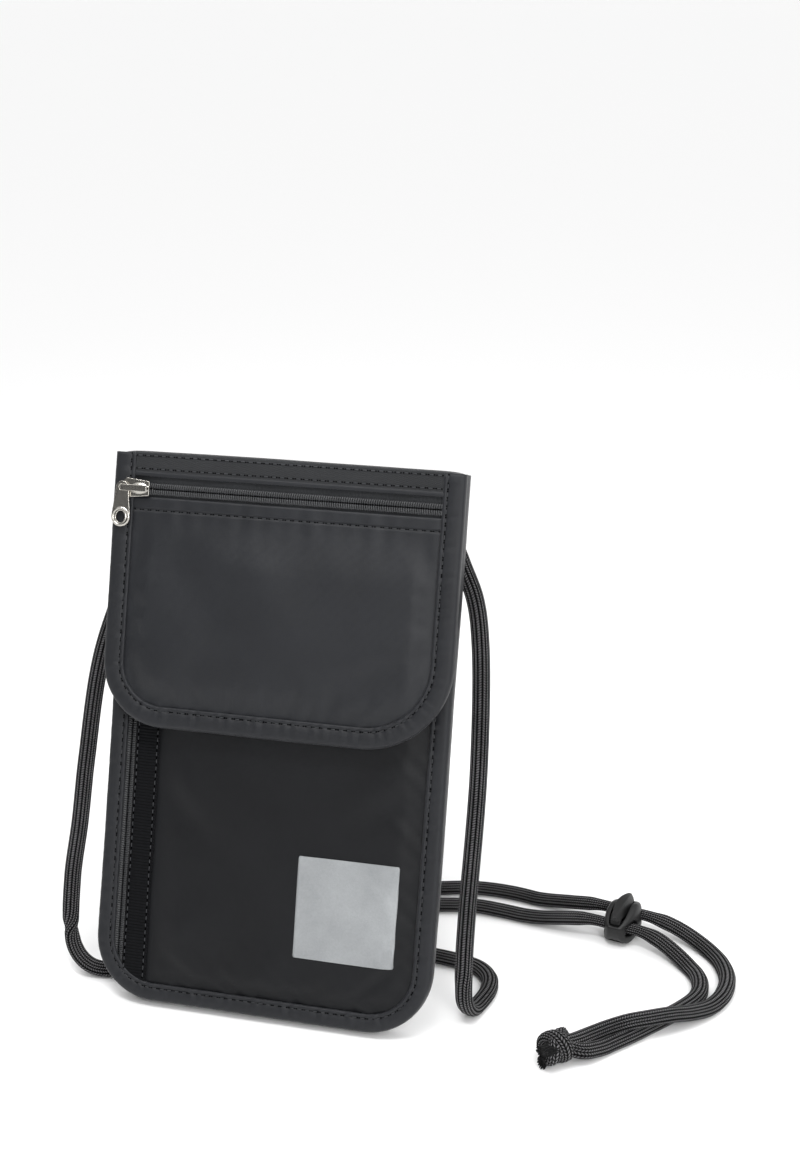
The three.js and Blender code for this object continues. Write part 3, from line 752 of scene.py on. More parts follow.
def sweep_binding(name, shape, section, seed, step=0.0011):
    """A binding along a U path, with a slightly uneven edge and puckers at its seam."""
    path, inward, along = u_path(shape, step)
    wander = smooth_noise(seed, 7, 60.0, 700.0)
    ripple = seam_puckers(seed + 1, 0.00011, 0.004, 0.0052)
    columns = len(section)
    n = np.repeat(section[None, :, 0], len(path), 0)
    d = np.repeat(section[None, :, 1], len(path), 0)
    s = np.repeat(along[:, None], columns, 1)
    outer = 1 - np.clip(n / shape["band"], 0, 1)
    n = n + 0.00022 * wander(s, 0 * s) * (0.25 + 0.75 * outer)
    middle = section[:, 1].mean()
    facing = np.where(d < middle, 1.0, -1.0)
    d = d + facing * (ripple(s, np.abs(n - shape["band"] * 0.78)) + 0.00012 * wander(s * 2.3, n * 3))
    x = path[:, 0, None] + inward[:, 0, None] * n
    z = path[:, 1, None] + inward[:, 1, None] * n
    vertices = np.stack([x, d, z], -1).reshape(-1, 3)
    faces = grid_faces(len(path), columns, wrap=True)
    return closed(name, to_row(vertices), faces + end_caps(len(path), columns))


# ---- sewing -------------------------------------------------------------------------------------
# Each needle hole is drawn as a small dark cone, coloured with painted shade.
SHADED_HOLE = 0.00034                    # half the length of a needle hole
SHADED_HOLE_TURNS = np.linspace(0, 2 * math.pi, 9)[:-1]


def stitch_row(name, points, pitch=STITCH_PITCH, radius=0.00019, length=0.0022, face=-1.0):
    """A row of single stitches along a line of the upright frame. Each is a short thread
    whose ends dive into the cloth. face is -1 on the front and 1 on the back."""
    points = np.asarray(points, float)
    along = distances(points)
    count = max(1, int(along[-1] / pitch))
    sides, rings = 6, 7
    proud = np.array((0, face, 0))
    profile = np.linspace(-0.5, 0.5, rings)
    lift = np.cos(profile * math.pi * 0.98)
    vertices, faces, shade = [], [], []
    for i in range(count):
        middle = (i + 0.5) * along[-1] / count
        stretch = length * random.uniform(0.92, 1.06)
        slip = random.uniform(-0.00006, 0.00006)
        spots = np.stack([np.interp(middle + profile * stretch, along, points[:, k]) for k in range(3)], -1)
        tangent = spots[-1] - spots[0]
        tangent = tangent / np.linalg.norm(tangent)
        side = np.cross(tangent, proud)
        # Each end gets a small dark cone at its needle hole, coloured with painted shade.
        for end in (0, -1):
            shaded_hole = spots[end] + proud * 0.00009
            forward = tangent * SHADED_HOLE
            ring = [shaded_hole + forward * math.cos(a) + side * SHADED_HOLE * 0.8 * math.sin(a) for a in SHADED_HOLE_TURNS]
            start = len(vertices)
            vertices += ring + [shaded_hole + proud * 0.00005, shaded_hole - proud * 0.0002]
            count_round = len(ring)
            for a in range(count_round):
                b = (a + 1) % count_round
                faces += [(start + a, start + b, start + count_round),
                          (start + b, start + a, start + count_round + 1)]
            shade += [0.0] * (count_round + 2)
        base = len(vertices)
        # Near its ends the thread fades to the holes' painted shade as it dives into the cloth.
        for k in range(rings):
            shade += [max(0.0, min(1.0, 1.6 * lift[k]))] * sides
            thick = radius * (0.55 + 0.45 * lift[k])
            centre = spots[k] + side * slip + proud * (radius * (1.7 * lift[k] - 1.05))
            for j in range(sides):
                angle = 2 * math.pi * j / sides
                vertices.append(centre + side * thick * math.cos(angle) + proud * thick * math.sin(angle))
        faces += grid_faces(rings, sides, base, True) + end_caps(rings, sides, base)
    obj = closed(name, to_row(vertices), faces)
    layer = obj.data.uv_layers.new(name="stitch")
    for loop in obj.data.loops:
        layer.data[loop.index].uv = (shade[loop.vertex_index], 0.5)
    return obj


def binding_rows(shape, depth):
    """The sewn rows at the front and at the back of a binding."""
    inset = shape["band"] - SEAM_INSET
    path, inward, _ = u_path(shape, 0.002)
    rows = []
    for level, face in ((depth[0] + 0.00025, -1.0), (depth[1] - 0.00025, 1.0)):
        line = np.stack([path[:, 0] + inward[:, 0] * inset, 0 * path[:, 0] + level,
                         path[:, 1] + inward[:, 1] * inset], -1)
        rows.append(stitch_row("row", line, face=face))
    return rows


def join(name, objects):
    """One smooth mesh object made of several, which are removed."""
    work = bmesh.new()
    for obj in objects:
        work.from_mesh(obj.data)
    mesh = bpy.data.meshes.new(name)
    work.to_mesh(mesh)
    work.free()
    for obj in objects:
        bpy.data.objects.remove(obj)
    mesh.polygons.foreach_set("use_smooth", [True] * len(mesh.polygons))
    return placed(name, mesh)


def straight_line(start, end, count=60, depth=None):
    """Points from start to end; depth(x, z) sets their depth where the cloth isn't flat."""
    line = np.linspace(start, end, count)
    if depth is not None:
        line[:, 1] = depth(line[:, 0], line[:, 2])
    return line


# ---- cords --------------------------------------------------------------------------------------
ON_FLOOR = 0.00005
CORD_SIDES = 56
COLUMNS_AROUND = 14
STITCH_ALONG = 0.00095


def catmull_rom(points, step):
    """A centripetal Catmull-Rom curve through the points, sampled every step metres."""
    points = [np.array(p, float) for p in points]
    points = [2 * points[0] - points[1]] + points + [2 * points[-1] - points[-2]]
    fine = []
    for p0, p1, p2, p3 in zip(points, points[1:], points[2:], points[3:]):
        t1 = math.sqrt(np.linalg.norm(p1 - p0))
        t2 = t1 + math.sqrt(np.linalg.norm(p2 - p1))
        t3 = t2 + math.sqrt(np.linalg.norm(p3 - p2))
        for t in np.linspace(t1, t2, 40, endpoint=False):
            a1 = p0 * (t1 - t) / t1 + p1 * t / t1
            a2 = p1 * (t2 - t) / (t2 - t1) + p2 * (t - t1) / (t2 - t1)
            a3 = p2 * (t3 - t) / (t3 - t2) + p3 * (t - t2) / (t3 - t2)
            b1 = a1 * (t2 - t) / t2 + a2 * t / t2
            b2 = a2 * (t3 - t) / (t3 - t1) + a3 * (t - t1) / (t3 - t1)
            fine.append(b1 * (t2 - t) / (t2 - t1) + b2 * (t - t1) / (t2 - t1))
    fine.append(points[-2])
    fine = np.array(fine)
    along = distances(fine)
    marks = np.linspace(0, along[-1], max(8, int(along[-1] / step)))
    return np.stack([np.interp(marks, along, fine[:, k]) for k in range(3)], -1)


def flat_frames(path, faces_towards):
    """Width and thickness directions for a flat cord, turned gently so that its flat side
    faces towards faces_towards(point) wherever that is across the cord."""
    tangents = np.gradient(path, axis=0)
    tangents /= np.linalg.norm(tangents, axis=1)[:, None]
    width = np.cross(tangents[0], faces_towards(path[0]))
    width /= np.linalg.norm(width)
    carried, wanted = [], []
    for point, tangent in zip(path, tangents):
        width = width - tangent * np.dot(width, tangent)
        width /= np.linalg.norm(width)
        across = np.cross(tangent, width)
        carried.append((width, across))
        goal = np.cross(tangent, faces_towards(point))
        size = np.linalg.norm(goal)
        wanted.append((math.atan2(np.dot(goal, across), np.dot(goal, width)), size ** 4))
    angles = np.array([a for a, _ in wanted])
    weights = np.array([w for _, w in wanted]) + 1e-3
    angles = np.unwrap(angles * 2) / 2
    window = np.hanning(61)
    smooth = np.convolve(angles * weights, window, "same") / np.convolve(weights, window, "same")
    result = []
    for (w, a), angle in zip(carried, smooth):
        result.append((w * math.cos(angle) + a * math.sin(angle), a * math.cos(angle) - w * math.sin(angle)))
    return result


def flat_cord(name, path, frames, width, thick, squeeze=None):
    """A flat tubular braid along a path, with one soft rib for each column of stitches."""
    angles = np.linspace(0, 2 * math.pi, CORD_SIDES, endpoint=False)
    rib = 0.88 + 0.12 * np.abs(np.sin(angles * COLUMNS_AROUND / 2)) ** 0.6
    across = np.sign(np.cos(angles)) * np.abs(np.cos(angles)) ** 0.85 * rib * width / 2
    over = np.sign(np.sin(angles)) * np.abs(np.sin(angles)) ** 0.75 * rib * thick / 2
    vertices = []
    for i, (point, (w, a)) in enumerate(zip(path, frames)):
        fit = 1.0 if squeeze is None else squeeze[i]
        vertices.append(point + w * (across * fit)[:, None] + a * (over * fit)[:, None])
    vertices = np.concatenate(vertices)
    vertices[:, 2] = np.maximum(vertices[:, 2], ON_FLOOR)
    faces = grid_faces(len(path), CORD_SIDES, wrap=True) + end_caps(len(path), CORD_SIDES)
    obj = mesh_object(name, vertices, faces, True)
    chart_braid(obj, path)
    return obj


def chart_braid(obj, path):
    """A map with the number of stitches along the cord, and of columns around it."""
    along = distances(path) / STITCH_ALONG
    layer = obj.data.uv_layers.new(name="braid")
    per = COLUMNS_AROUND / CORD_SIDES
    for polygon in obj.data.polygons:
        if len(polygon.vertices) > 4:
            for loop in polygon.loop_indices:
                layer.data[loop].uv = (0.5, 0.5)
            continue
        columns = [v % CORD_SIDES for v in polygon.vertices]
        wraps = max(columns) - min(columns) > 1
        for loop, vertex, column in zip(polygon.loop_indices, polygon.vertices, columns):
            turn = column + CORD_SIDES if wraps and column == 0 else column
            layer.data[loop].uv = (along[vertex // CORD_SIDES], turn * per)


def hang_or_lie(point):
    """A hanging cord shows its flat side to the front; a lying one lies flat."""
    share = eased(min(max((point[2] - 0.012) / 0.03, 0), 1))
    return np.array((0, -0.95 * share, 0.31 * share - (1 - share)))


def add_cords():
    cords = []
    for side, route in (("left", CORD_LEFT_ROUTE), ("right", CORD_RIGHT_ROUTE)):
        path = catmull_rom(route + [tuple(KNOT_AT - KNOT_AXIS * 0.0015)], 0.0007)
        path[:, 2] = np.maximum(path[:, 2], CORD["thick"] / 2 + 0.0001)
        from_lock = np.linalg.norm(path[:, :2] - np.array(LOCK["at"]), axis=1)
        squeeze = 1 - LOCK["squeeze"] * np.exp(-(from_lock / LOCK["reach"]) ** 8)
        cord = flat_cord(f"neck_cord_{side}", path, flat_frames(path, hang_or_lie),
                         CORD["width"], CORD["thick"], squeeze)
        outward(cord)
        finish_piece(cord, "pouch", "cord", BRAID, f"cord_{side}", f"cord_{side}_end")
        length = float(np.linalg.norm(np.diff(path, axis=0), axis=1).sum())
        cords.append((cord, route[0], length, path))
    return cords


def add_knot():
    """An overhand knot in the pair of cords: two wraps round the pair, and two cut ends."""
    axis = np.array(KNOT_AXIS)
    up = np.array((0.0, 0.0, 1.0))
    up = up - axis * np.dot(up, axis)
    up /= np.linalg.norm(up)
    aside = np.cross(axis, up)
    centre = np.array(KNOT_AT)
    pieces = []
    for turns, radius, begin, travel, tilt in KNOT_WRAPS:
        path, frames = [], []
        for t in np.linspace(0, 1, 90):
            angle = begin + 2 * math.pi * turns * t
            tuck = 1 - 0.55 * (np.clip((abs(t - 0.5) - 0.38) / 0.12, 0, 1)) ** 2
            spoke = up * math.cos(angle) + aside * math.sin(angle)
            shift = (t - 0.5) * travel + tilt * radius * math.sin(angle)
            path.append(centre + spoke * radius * tuck + axis * shift)
        path = np.array(path)
        tangents = np.gradient(path, axis=0)
        for point, tangent in zip(path, tangents):
            tangent = tangent / np.linalg.norm(tangent)
            spoke = point - centre
            spoke = spoke - axis * np.dot(spoke, axis)
            w = np.cross(tangent, spoke)
            w /= np.linalg.norm(w)
            frames.append((w, np.cross(tangent, w)))
        pieces.append(flat_cord("wrap", path, frames, *WRAP_SIZE))
    knot = join("cord_knot_wraps", pieces)
    finish_piece(knot, "pouch", "cord", BRAID, "cord_knot")
    ends = []
    for shift, rise, lean in KNOT_ENDS:
        lean = np.array(Vector(lean).normalized())
        start = centre + aside * shift + up * rise - lean * 0.001
        path = np.array([start + lean * t for t in np.linspace(0, END_LENGTH, 20)])
        w = np.cross(lean, up if rise > 0 else aside)
        w /= np.linalg.norm(w)
        frames = [(w, np.cross(lean, w))] * len(path)
        stub = flat_cord("stub", path, frames, *END_SIZE)
        for vertex in stub.data.vertices[-2 * CORD_SIDES:]:
            vertex.co += Vector(lean * random.uniform(-0.0006, 0.0007))
            vertex.co.z = max(vertex.co.z, ON_FLOOR)
        ends.append(stub)
    stubs = join("cord_cut_ends", ends)
    finish_piece(stubs, "pouch", "cord", FRAYED)
    return [knot, stubs]


# ---- pouch body ---------------------------------------------------------------------------------
def make_relief(shape, top, grow, pressure, seed, cap):
    """How far a sewn panel stands proud, as a function of (x, z)."""
    width = 2 * (shape["half"] - shape["band"])
    low = shape["bottom"] + shape["band"]
    sample = settle_cloth(width, top - low, grow, pressure, seed, cap)

    def proud(x, z):
        u = (np.asarray(x) + width / 2) / width
        v = (np.asarray(z) - low) / (top - low)
        inside = np.minimum(np.minimum(u, 1 - u) * width, np.minimum(v, 1 - v) * (top - low))
        inside = np.clip(inside, 0, None)
        return sample(u, v) * (1 - np.exp(-(inside / 0.0025)))
    return proud


def add_body():
    layers = BODY_LAYERS
    relief = make_relief(BODY, COMPARTMENT_TOP, 0.012, 1.2, 11, 0.0021)
    ripple = seam_puckers(5, 0.00014, 0.009, 0.0110)
    folds = soft_folds(BODY_FOLDS)

    def panel_front(x, z):
        left, right = u_edges(BODY, BODY["band"], np.maximum(z, BODY["bottom"] + BODY["band"]))
        gap = np.minimum(np.minimum(x - left, right - x), z - BODY["bottom"] - BODY["band"])
        edge = 1 - np.exp(-np.maximum(gap, 0) / 0.004)
        beside = np.clip((x - RIBBON["left"] - RIBBON["width"]) / 0.014, 0, 1)
        free = np.where(z < RIBBON["top"] + 0.004, eased(beside), 1.0)
        proud = relief(x, z) + folds(x, z) * edge + ripple(x + z, gap)
        return layers["panel"] - proud * free

    def slab(name, top, front, thickness, columns=90, step=0.0016, left_edge=None):
        def edges(z):
            left, right = u_edges(BODY, EDGE_INSET, z)
            return (left if left_edge is None else np.maximum(left, left_edge)), right
        return cloth_slab(name, u_levels(BODY, EDGE_INSET, top, step), edges, columns, front, thickness)

    front = slab("front_panel_cloth", COMPARTMENT_TOP, panel_front, 0.0007,
                 left_edge=RIBBON["left"] + 0.0004)
    finish_piece(front, "pouch", "shell_fabric", SHADED_FRONT, "front_panel")

    soft = smooth_noise(31, 7, 40.0, 160.0)
    lining = slab("pocket_lining_cloth", COMPARTMENT_TOP,
                  lambda x, z: layers["lining"] + 0.0002 * soft(x, z), 0.0003, 50, 0.004)
    finish_piece(lining, "pouch", "lining_fabric", LINING, "pocket_lining")
    divider = slab("divider_cloth", 0.200,
                   lambda x, z: layers["divider"] + 0.00015 * soft(z, x), 0.0003, 50, 0.004)
    finish_piece(divider, "pouch", "lining_fabric", LINING, "divider_panel")

    add_back()
    depth = layers["binding"]
    section = rolled_section(BODY["band"], depth[0], depth[1], 0.00105, 0.0077, BODY["band"] - SEAM_INSET)
    binding = sweep_binding("body_binding_cloth", BODY, section, 3)
    finish_piece(binding, "pouch", "shell_fabric", BAND, "body_binding")
    return panel_front


def add_back():
    """The back: a cloth panel with a thin pad quilted on to it."""
    half, low, high = 0.050, 0.014, 0.184
    flat_back = 0.0098
    noise = smooth_noise(17, 7, 50.0, 300.0)
    levels = u_levels(BODY, EDGE_INSET, 0.2055, 0.0018)
    columns = 84
    left, right = u_edges(BODY, EDGE_INSET, levels)
    share = np.linspace(0, 1, columns)
    x = left[:, None] + (right - left)[:, None] * share[None, :]
    z = np.repeat(levels[:, None], columns, 1)
    inside = np.minimum(half - np.abs(x), np.minimum(z - low, high - z))
    swell = np.clip(inside / 0.006, 0, 1)
    swell = np.sqrt(swell * (2 - swell))
    channel = np.exp(-((inside - 0.0085) / 0.0009) ** 2) * (inside > 0)
    rear = 0.0077 + (flat_back - 0.0077) * swell - 0.0012 * channel + 0.00018 * noise(x, z) * (1 - swell)
    rear = np.minimum(rear, flat_back)
    inner = 0 * x + BODY_LAYERS["back"]
    layers = [np.stack([x, depth, z], -1).reshape(-1, 3) for depth in (inner, rear)]
    cushion = two_sided("back_cushion", np.concatenate(layers), len(levels), columns)
    finish_piece(cushion, "pouch", "shell_fabric", BACKING, "back_panel")
    inset = 0.0085
    loop = [(-half + inset, low + inset), (half - inset, low + inset),
            (half - inset, high - inset), (-half + inset, high - inset)]
    rows_of_stitches = []
    for (x0, z0), (x1, z1) in zip(loop, loop[1:] + loop[:1]):
        line = straight_line((x0, flat_back - 0.0009, z0), (x1, flat_back - 0.0009, z1))
        rows_of_stitches.append(stitch_row("row", line, face=1.0))
    stitches = join("back_quilting_thread", rows_of_stitches)
    finish_piece(stitches, "pouch", "shell_fabric", THREAD)


def add_trims(panel_front):
    """The ribbon beside the pocket zip and the silver label."""
    edge = smooth_noise(41, 6, 120.0, 600.0)

    def ribbon_edges(z):
        wave = 0.00022 * edge(z, 0 * z)
        return RIBBON["left"] + wave, RIBBON["left"] + RIBBON["width"] + 0.8 * wave

    def ribbon_front(x, z):
        ribs = np.abs(np.sin(math.pi * z / RIB_PITCH)) ** 0.7
        waver = 0.0003 * edge(z, x)
        return np.clip(panel_front(x, z), -0.0002, 0.0009) - 0.00045 - 0.00016 * ribs - waver
    levels = np.arange(RIBBON["bottom"], RIBBON["top"], 0.00029)
    ribbon = cloth_slab("front_ribbon_weave", levels, ribbon_edges, 14, ribbon_front, 0.0004)
    finish_piece(ribbon, "pouch", "ribbon", RIBBON_WEAVE, "front_ribbon")
    rows = []
    for offset in (0.0009, RIBBON["width"] - 0.0009):
        x = RIBBON["left"] + offset
        line = straight_line((x, 0, RIBBON["bottom"] + 0.001), (x, 0, RIBBON["top"] - 0.001), 200,
                             ribbon_front)
        rows.append(stitch_row("row", line, 0.0027))
    finish_piece(join("ribbon_thread", rows), "pouch", "ribbon", THREAD)

    half = LABEL["side"] / 2
    curl = 0.0006

    def label_edges(z):
        rounding = np.clip(curl - np.minimum(z - (LABEL["z"] - half), LABEL["z"] + half - z), 0, curl)
        return LABEL["x"] - half + rounding * 0.6, LABEL["x"] + half - rounding * 0.6
    levels = np.concatenate([
        LABEL["z"] - half + np.array([0, 0.15, 0.4, 0.8]) * curl,
        np.linspace(LABEL["z"] - half + curl * 1.3, LABEL["z"] + half - curl * 1.3, 44),
        LABEL["z"] + half - np.array([0.8, 0.4, 0.15, 0]) * curl])
    label = cloth_slab("silver_label", levels, label_edges, 48,
                       lambda x, z: panel_front(x, z) - 0.00032, 0.0003)
    finish_piece(label, "pouch", "reflective", SILVER, "reflective_label")


def add_patch(name, body, node, face_depth, back_depth, seed):
    """A hook or loop patch: a felt-like block with a sewn border."""
    rng = np.random.default_rng(seed)
    low, high = PATCH["bottom"], PATCH["bottom"] + PATCH["height"]
    levels = np.linspace(low, high, 60)
    bristle = rng.uniform(-1, 1, (60, 160))

    def front(x, z):
        rim = np.minimum(PATCH["half"] - np.abs(x), np.minimum(z - low, high - z))
        rise = np.clip(rim / 0.002, 0, 1)
        depth = face_depth + (1 - rise) * 0.35 * (back_depth - face_depth)
        return depth + 0.00012 * bristle
    obj = cloth_slab(name, levels, lambda z: (0 * z - PATCH["half"], 0 * z + PATCH["half"]), 160,
                     front, back_depth - face_depth)
    finish_piece(obj, body, "hook_and_loop", PILE, node)


def add_seam_threads():
    """The sewn rows of the pouch body: front and back of the binding."""
    rows = binding_rows(BODY, BODY_LAYERS["binding"])
    finish_piece(join("body_binding_thread", rows), "pouch", "shell_fabric", THREAD)


# ---- flap ---------------------------------------------------------------------------------------
def add_flap():
    layers = FLAP_LAYERS
    relief = make_relief(FLAP, FLAP_ZIP["slot_bottom"], 0.013, 1.3, 23, 0.0022)
    ripple = seam_puckers(9, 0.00009, 0.007, 0.0120)
    folds = soft_folds(FLAP_FOLDS)
    fold = FLAP_ZIP["slot_bottom"]

    def panel_front(x, z):
        left, right = u_edges(FLAP, FLAP["band"], np.maximum(z, FLAP["bottom"] + FLAP["band"]))
        gap = np.minimum(np.minimum(x - left, right - x), z - FLAP["bottom"] - FLAP["band"])
        turned = np.clip((z - (fold - 0.0010)) / 0.0010, 0, 1) ** 2 * 0.9
        hem = np.clip((z - (fold - 0.0047)) / 0.0006, 0, 1) - turned
        seam = np.exp(-((z - (fold - 0.0049)) / 0.0005) ** 2)
        near = eased(np.clip((fold - 0.0049 - z) / 0.022, 0, 1))
        puckers = ripple(x * 1.1, np.minimum(gap, np.abs(z - fold + 0.0049)))
        edge = 1 - np.exp(-np.clip(gap, 0, 1) / 0.004)
        proud = relief(x, z) * near + folds(x, z) * near * edge
        return layers["panel"] - proud - puckers - 0.00045 * hem + 0.0003 * seam

    def edges(z):
        return u_edges(FLAP, EDGE_INSET, z)
    levels = u_levels(FLAP, EDGE_INSET, fold - 0.007, 0.0014)
    levels = np.concatenate([levels, np.arange(fold - 0.0065, fold, 0.0003), [fold]])
    panel = cloth_slab("flap_panel_cloth", levels, edges, 100, panel_front, 0.0007)
    finish_piece(panel, "flap", "shell_fabric", SHELL, "flap_front_panel")

    soft = smooth_noise(57, 7, 40.0, 200.0)
    levels = u_levels(FLAP, EDGE_INSET, FLAP["top"] - 0.0006, 0.003)
    lining = cloth_slab("flap_lining_cloth", levels, edges, 60,
                        lambda x, z: layers["lining"] + 0.00018 * soft(x, z), 0.0003)
    finish_piece(lining, "flap", "lining_fabric", LINING, "flap_lining")

    add_top_strip(edges)
    depth = layers["binding"]
    section = rolled_section(FLAP["band"], depth[0], depth[1], -0.00725, -0.00385, FLAP["band"] - SEAM_INSET)
    binding = sweep_binding("flap_binding_cloth", FLAP, section, 13)
    finish_piece(binding, "flap", "shell_fabric", BAND, "flap_binding")
    add_patch("hook_pile", "flap", "hook_patch", -0.00385, -0.00185, 3)
    rows = binding_rows(FLAP, depth)
    side = FLAP["half"] - FLAP["band"]
    hem_line = straight_line((-side, 0, fold - 0.0049), (side, 0, fold - 0.0049), 140, panel_front)
    rows.append(stitch_row("row", hem_line))
    for height in (0.2010, 0.2058):
        rows.append(stitch_row("row", straight_line((-side, -0.0079, height), (side, -0.0079, height))))
    finish_piece(join("flap_thread", rows), "flap", "shell_fabric", THREAD)


def add_top_strip(edges):
    """The woven strip above the zip, whose lower edge is a folded lip of shell cloth."""
    low, high = FLAP_ZIP["slot_top"], FLAP["top"]
    front = FLAP_LAYERS["panel"]
    lip = 0.0021
    strip = cloth_slab("flap_strip_weave", np.linspace(low + lip * 0.6, high, 26), edges, 60,
                       lambda x, z: front - 0.0005 + 0 * x, 0.0009)
    finish_piece(strip, "flap", "ribbon", STRIP, "flap_top_strip")

    def lip_front(x, z):
        t = np.clip((z - low) / lip, 0, 1)
        return front - 0.00075 * np.sin(math.pi * np.clip(t * 0.85 + 0.15, 0, 1)) ** 0.5 - 0.0001 + 0 * x
    piping = cloth_slab("flap_strip_lip", low + lip * np.linspace(0, 1, 14), edges, 60, lip_front, 0.0008)
    finish_piece(piping, "flap", "shell_fabric", SHELL)


def add_top_fold():
    """The cloth that turns over the top edge from the back panel to the flap."""
    half = FLAP["half"] - 0.0018
    back, front = 0.0084, -0.0079
    height = FLAP["top"] - 0.0006
    rise = 0.0017
    columns, rows = 90, 34
    noise = smooth_noise(71, 7, 50.0, 260.0)
    share = np.linspace(0, 1, rows)
    vertices = []
    for inner in (0, 1):
        for t in share:
            lift = rise * (1 - abs(2 * t - 1) ** 3.2)
            for x in np.linspace(-half, half, columns):
                wave = 0.00022 * noise(x, t * 0.02)
                y = back + (front - back) * t
                round_end = math.sqrt(max(0.0, 1 - abs(x / half) ** 24))
                z = height + (lift * round_end + wave) * (0.35 if inner else 1.0) - (0.0006 if inner else 0)
                vertices.append((x, y, z))
    fold = two_sided("top_fold_cloth", vertices, rows, columns)
    finish_piece(fold, None, "shell_fabric", SHELL, "top_fold")
    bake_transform(fold)


# ---- zips ---------------------------------------------------------------------------------------
def coil(name, start, end, across, centre_depth):
    """One side of a zip: a flattened helix of nylon wire from start to end. across points
    from the zip's middle to this side."""
    start, end, across = (np.array(v, float) for v in (start, end, across))
    length = np.linalg.norm(end - start)
    turns = int(length / TEETH_PITCH)
    samples = turns * 11
    t = np.linspace(0, 1, samples)
    angle = 2 * math.pi * turns * t
    half_width, half_depth, wire = 0.00082, 0.00042, 0.00028
    lean = 0.18 * TEETH_PITCH
    spine = start + (end - start) * t[:, None]
    middle = 0.00116
    forward = (end - start) / length
    path = (spine + across * (middle + half_width * np.cos(angle))[:, None]
            + np.array((0, 1, 0)) * (centre_depth + half_depth * np.sin(angle))[:, None]
            + forward * (lean * np.sin(angle))[:, None])
    tangents = np.gradient(path, axis=0)
    tangents /= np.linalg.norm(tangents, axis=1)[:, None]
    side = np.cross(tangents, forward)
    side /= np.linalg.norm(side, axis=1)[:, None]
    other = np.cross(tangents, side)
    sides = 6
    ring = np.linspace(0, 2 * math.pi, sides, endpoint=False)
    vertices = (path[:, None, :] + side[:, None, :] * np.cos(ring)[None, :, None] * wire
                + other[:, None, :] * np.sin(ring)[None, :, None] * wire * 1.25).reshape(-1, 3)
    return closed(name, to_row(vertices), grid_faces(samples, sides, wrap=True) + end_caps(samples, sides))


def add_zips():
    z, side = FLAP_ZIP["z"], FLAP["half"] - 0.0012
    for half, sign in (("upper", 1), ("lower", -1)):
        row = coil(f"flap_coil_{half}", (-side, 0, z), (side, 0, z), (0, 0, sign), -0.0074)
        finish_piece(row, "flap", "zip_coil", COIL, f"flap_zip_coil_{half}")
        near, far = z + sign * 0.0006, z + sign * (0.0006 + FLAP_ZIP["tape"])
        tape = cloth_slab(f"flap_tape_{half}", np.linspace(min(near, far), max(near, far), 20),
                          lambda level: (0 * level - side, 0 * level + side), 60,
                          lambda x, level: -0.0068 - 0.00012 * np.sin(x * 260) + 0 * level, 0.0004)
        finish_piece(tape, "flap", "zip_tape", TAPE, f"flap_zip_tape_{half}")
    x, low, high = POCKET_ZIP["x"], POCKET_ZIP["bottom"], POCKET_ZIP["top"]
    for half, sign in (("left", -1), ("right", 1)):
        row = coil(f"pocket_coil_{half}", (x, 0, low), (x, 0, high), (sign, 0, 0), 0.0015)
        finish_piece(row, "pouch", "zip_coil", COIL, f"pocket_zip_coil_{half}")
        near, far = x + sign * 0.0006, x + sign * (0.0006 + POCKET_ZIP["tape"])
        tape = cloth_slab(f"pocket_tape_{half}", np.linspace(low, high, 70),
                          lambda level: (0 * level + min(near, far), 0 * level + max(near, far)), 12,
                          lambda a, level: 0.0024 + 0.0001 * np.sin(level * 300) + 0 * a, 0.0004)
        finish_piece(tape, "pouch", "zip_tape", SHADED_TAPE_UPRIGHT, f"pocket_zip_tape_{half}")


# ---- moulded and cast pieces ----------------------------------------------------------------------
def softened(name, node, voxel, rounds, extras=()):
    """A copy of a CAD solid with its edges rounded, as a casting's or a moulding's are."""
    work = bmesh.new()
    work.from_mesh(frame["nodes"][node].data)
    for extra in extras:
        work.from_mesh(extra.data)
        bpy.data.objects.remove(extra)
    mesh = bpy.data.meshes.new(name)
    work.to_mesh(mesh)
    work.free()
    obj = placed(name, mesh)
    remesh = obj.modifiers.new("remesh", "REMESH")
    remesh.mode = "VOXEL"
    remesh.voxel_size = voxel
    smooth = obj.modifiers.new("smooth", "SMOOTH")
    smooth.factor = 0.5
    smooth.iterations = rounds
    bpy.context.view_layer.update()
    final = bpy.data.meshes.new_from_object(obj.evaluated_get(bpy.context.evaluated_depsgraph_get()))
    obj.modifiers.clear()
    obj.data = final
    final.polygons.foreach_set("use_smooth", [True] * len(final.polygons))
    return obj


def ellipsoid(centre, radii):
    """A closed ball of the upright frame, as an extra for a cast piece."""
    work = bmesh.new()
    bmesh.ops.create_uvsphere(work, u_segments=28, v_segments=16, radius=1)
    points = np.array([v.co[:] for v in work.verts]) * np.array(radii)
    for vertex, point in zip(work.verts, to_row(points + np.array(centre))):
        vertex.co = point
    mesh = bpy.data.meshes.new("ball")
    work.to_mesh(mesh)
    work.free()
    return placed("ball", mesh)


def ring_wire(points, radius):
    """A closed wire along points of the upright frame, as an extra for a cast piece."""
    points = to_row(points)
    count, sides = len(points), 8
    normal = to_row([(0, 1, 0)])[0] - to_row([(0, 0, 0)])[0]
    vertices = []
    for i, point in enumerate(points):
        tangent = points[(i + 1) % count] - points[i - 1]
        side = np.cross(tangent, normal)
        side /= np.linalg.norm(side)
        for j in range(sides):
            angle = 2 * math.pi * j / sides
            vertices.append(point + side * radius * math.cos(angle) + normal * radius * math.sin(angle))
    faces = grid_faces(count, sides, wrap=True)
    last = (count - 1) * sides
    faces += [(last + j, last + (j + 1) % sides, (j + 1) % sides, j) for j in range(sides)]
    obj = mesh_object("ring", vertices, faces)
    outward(obj)
    return obj


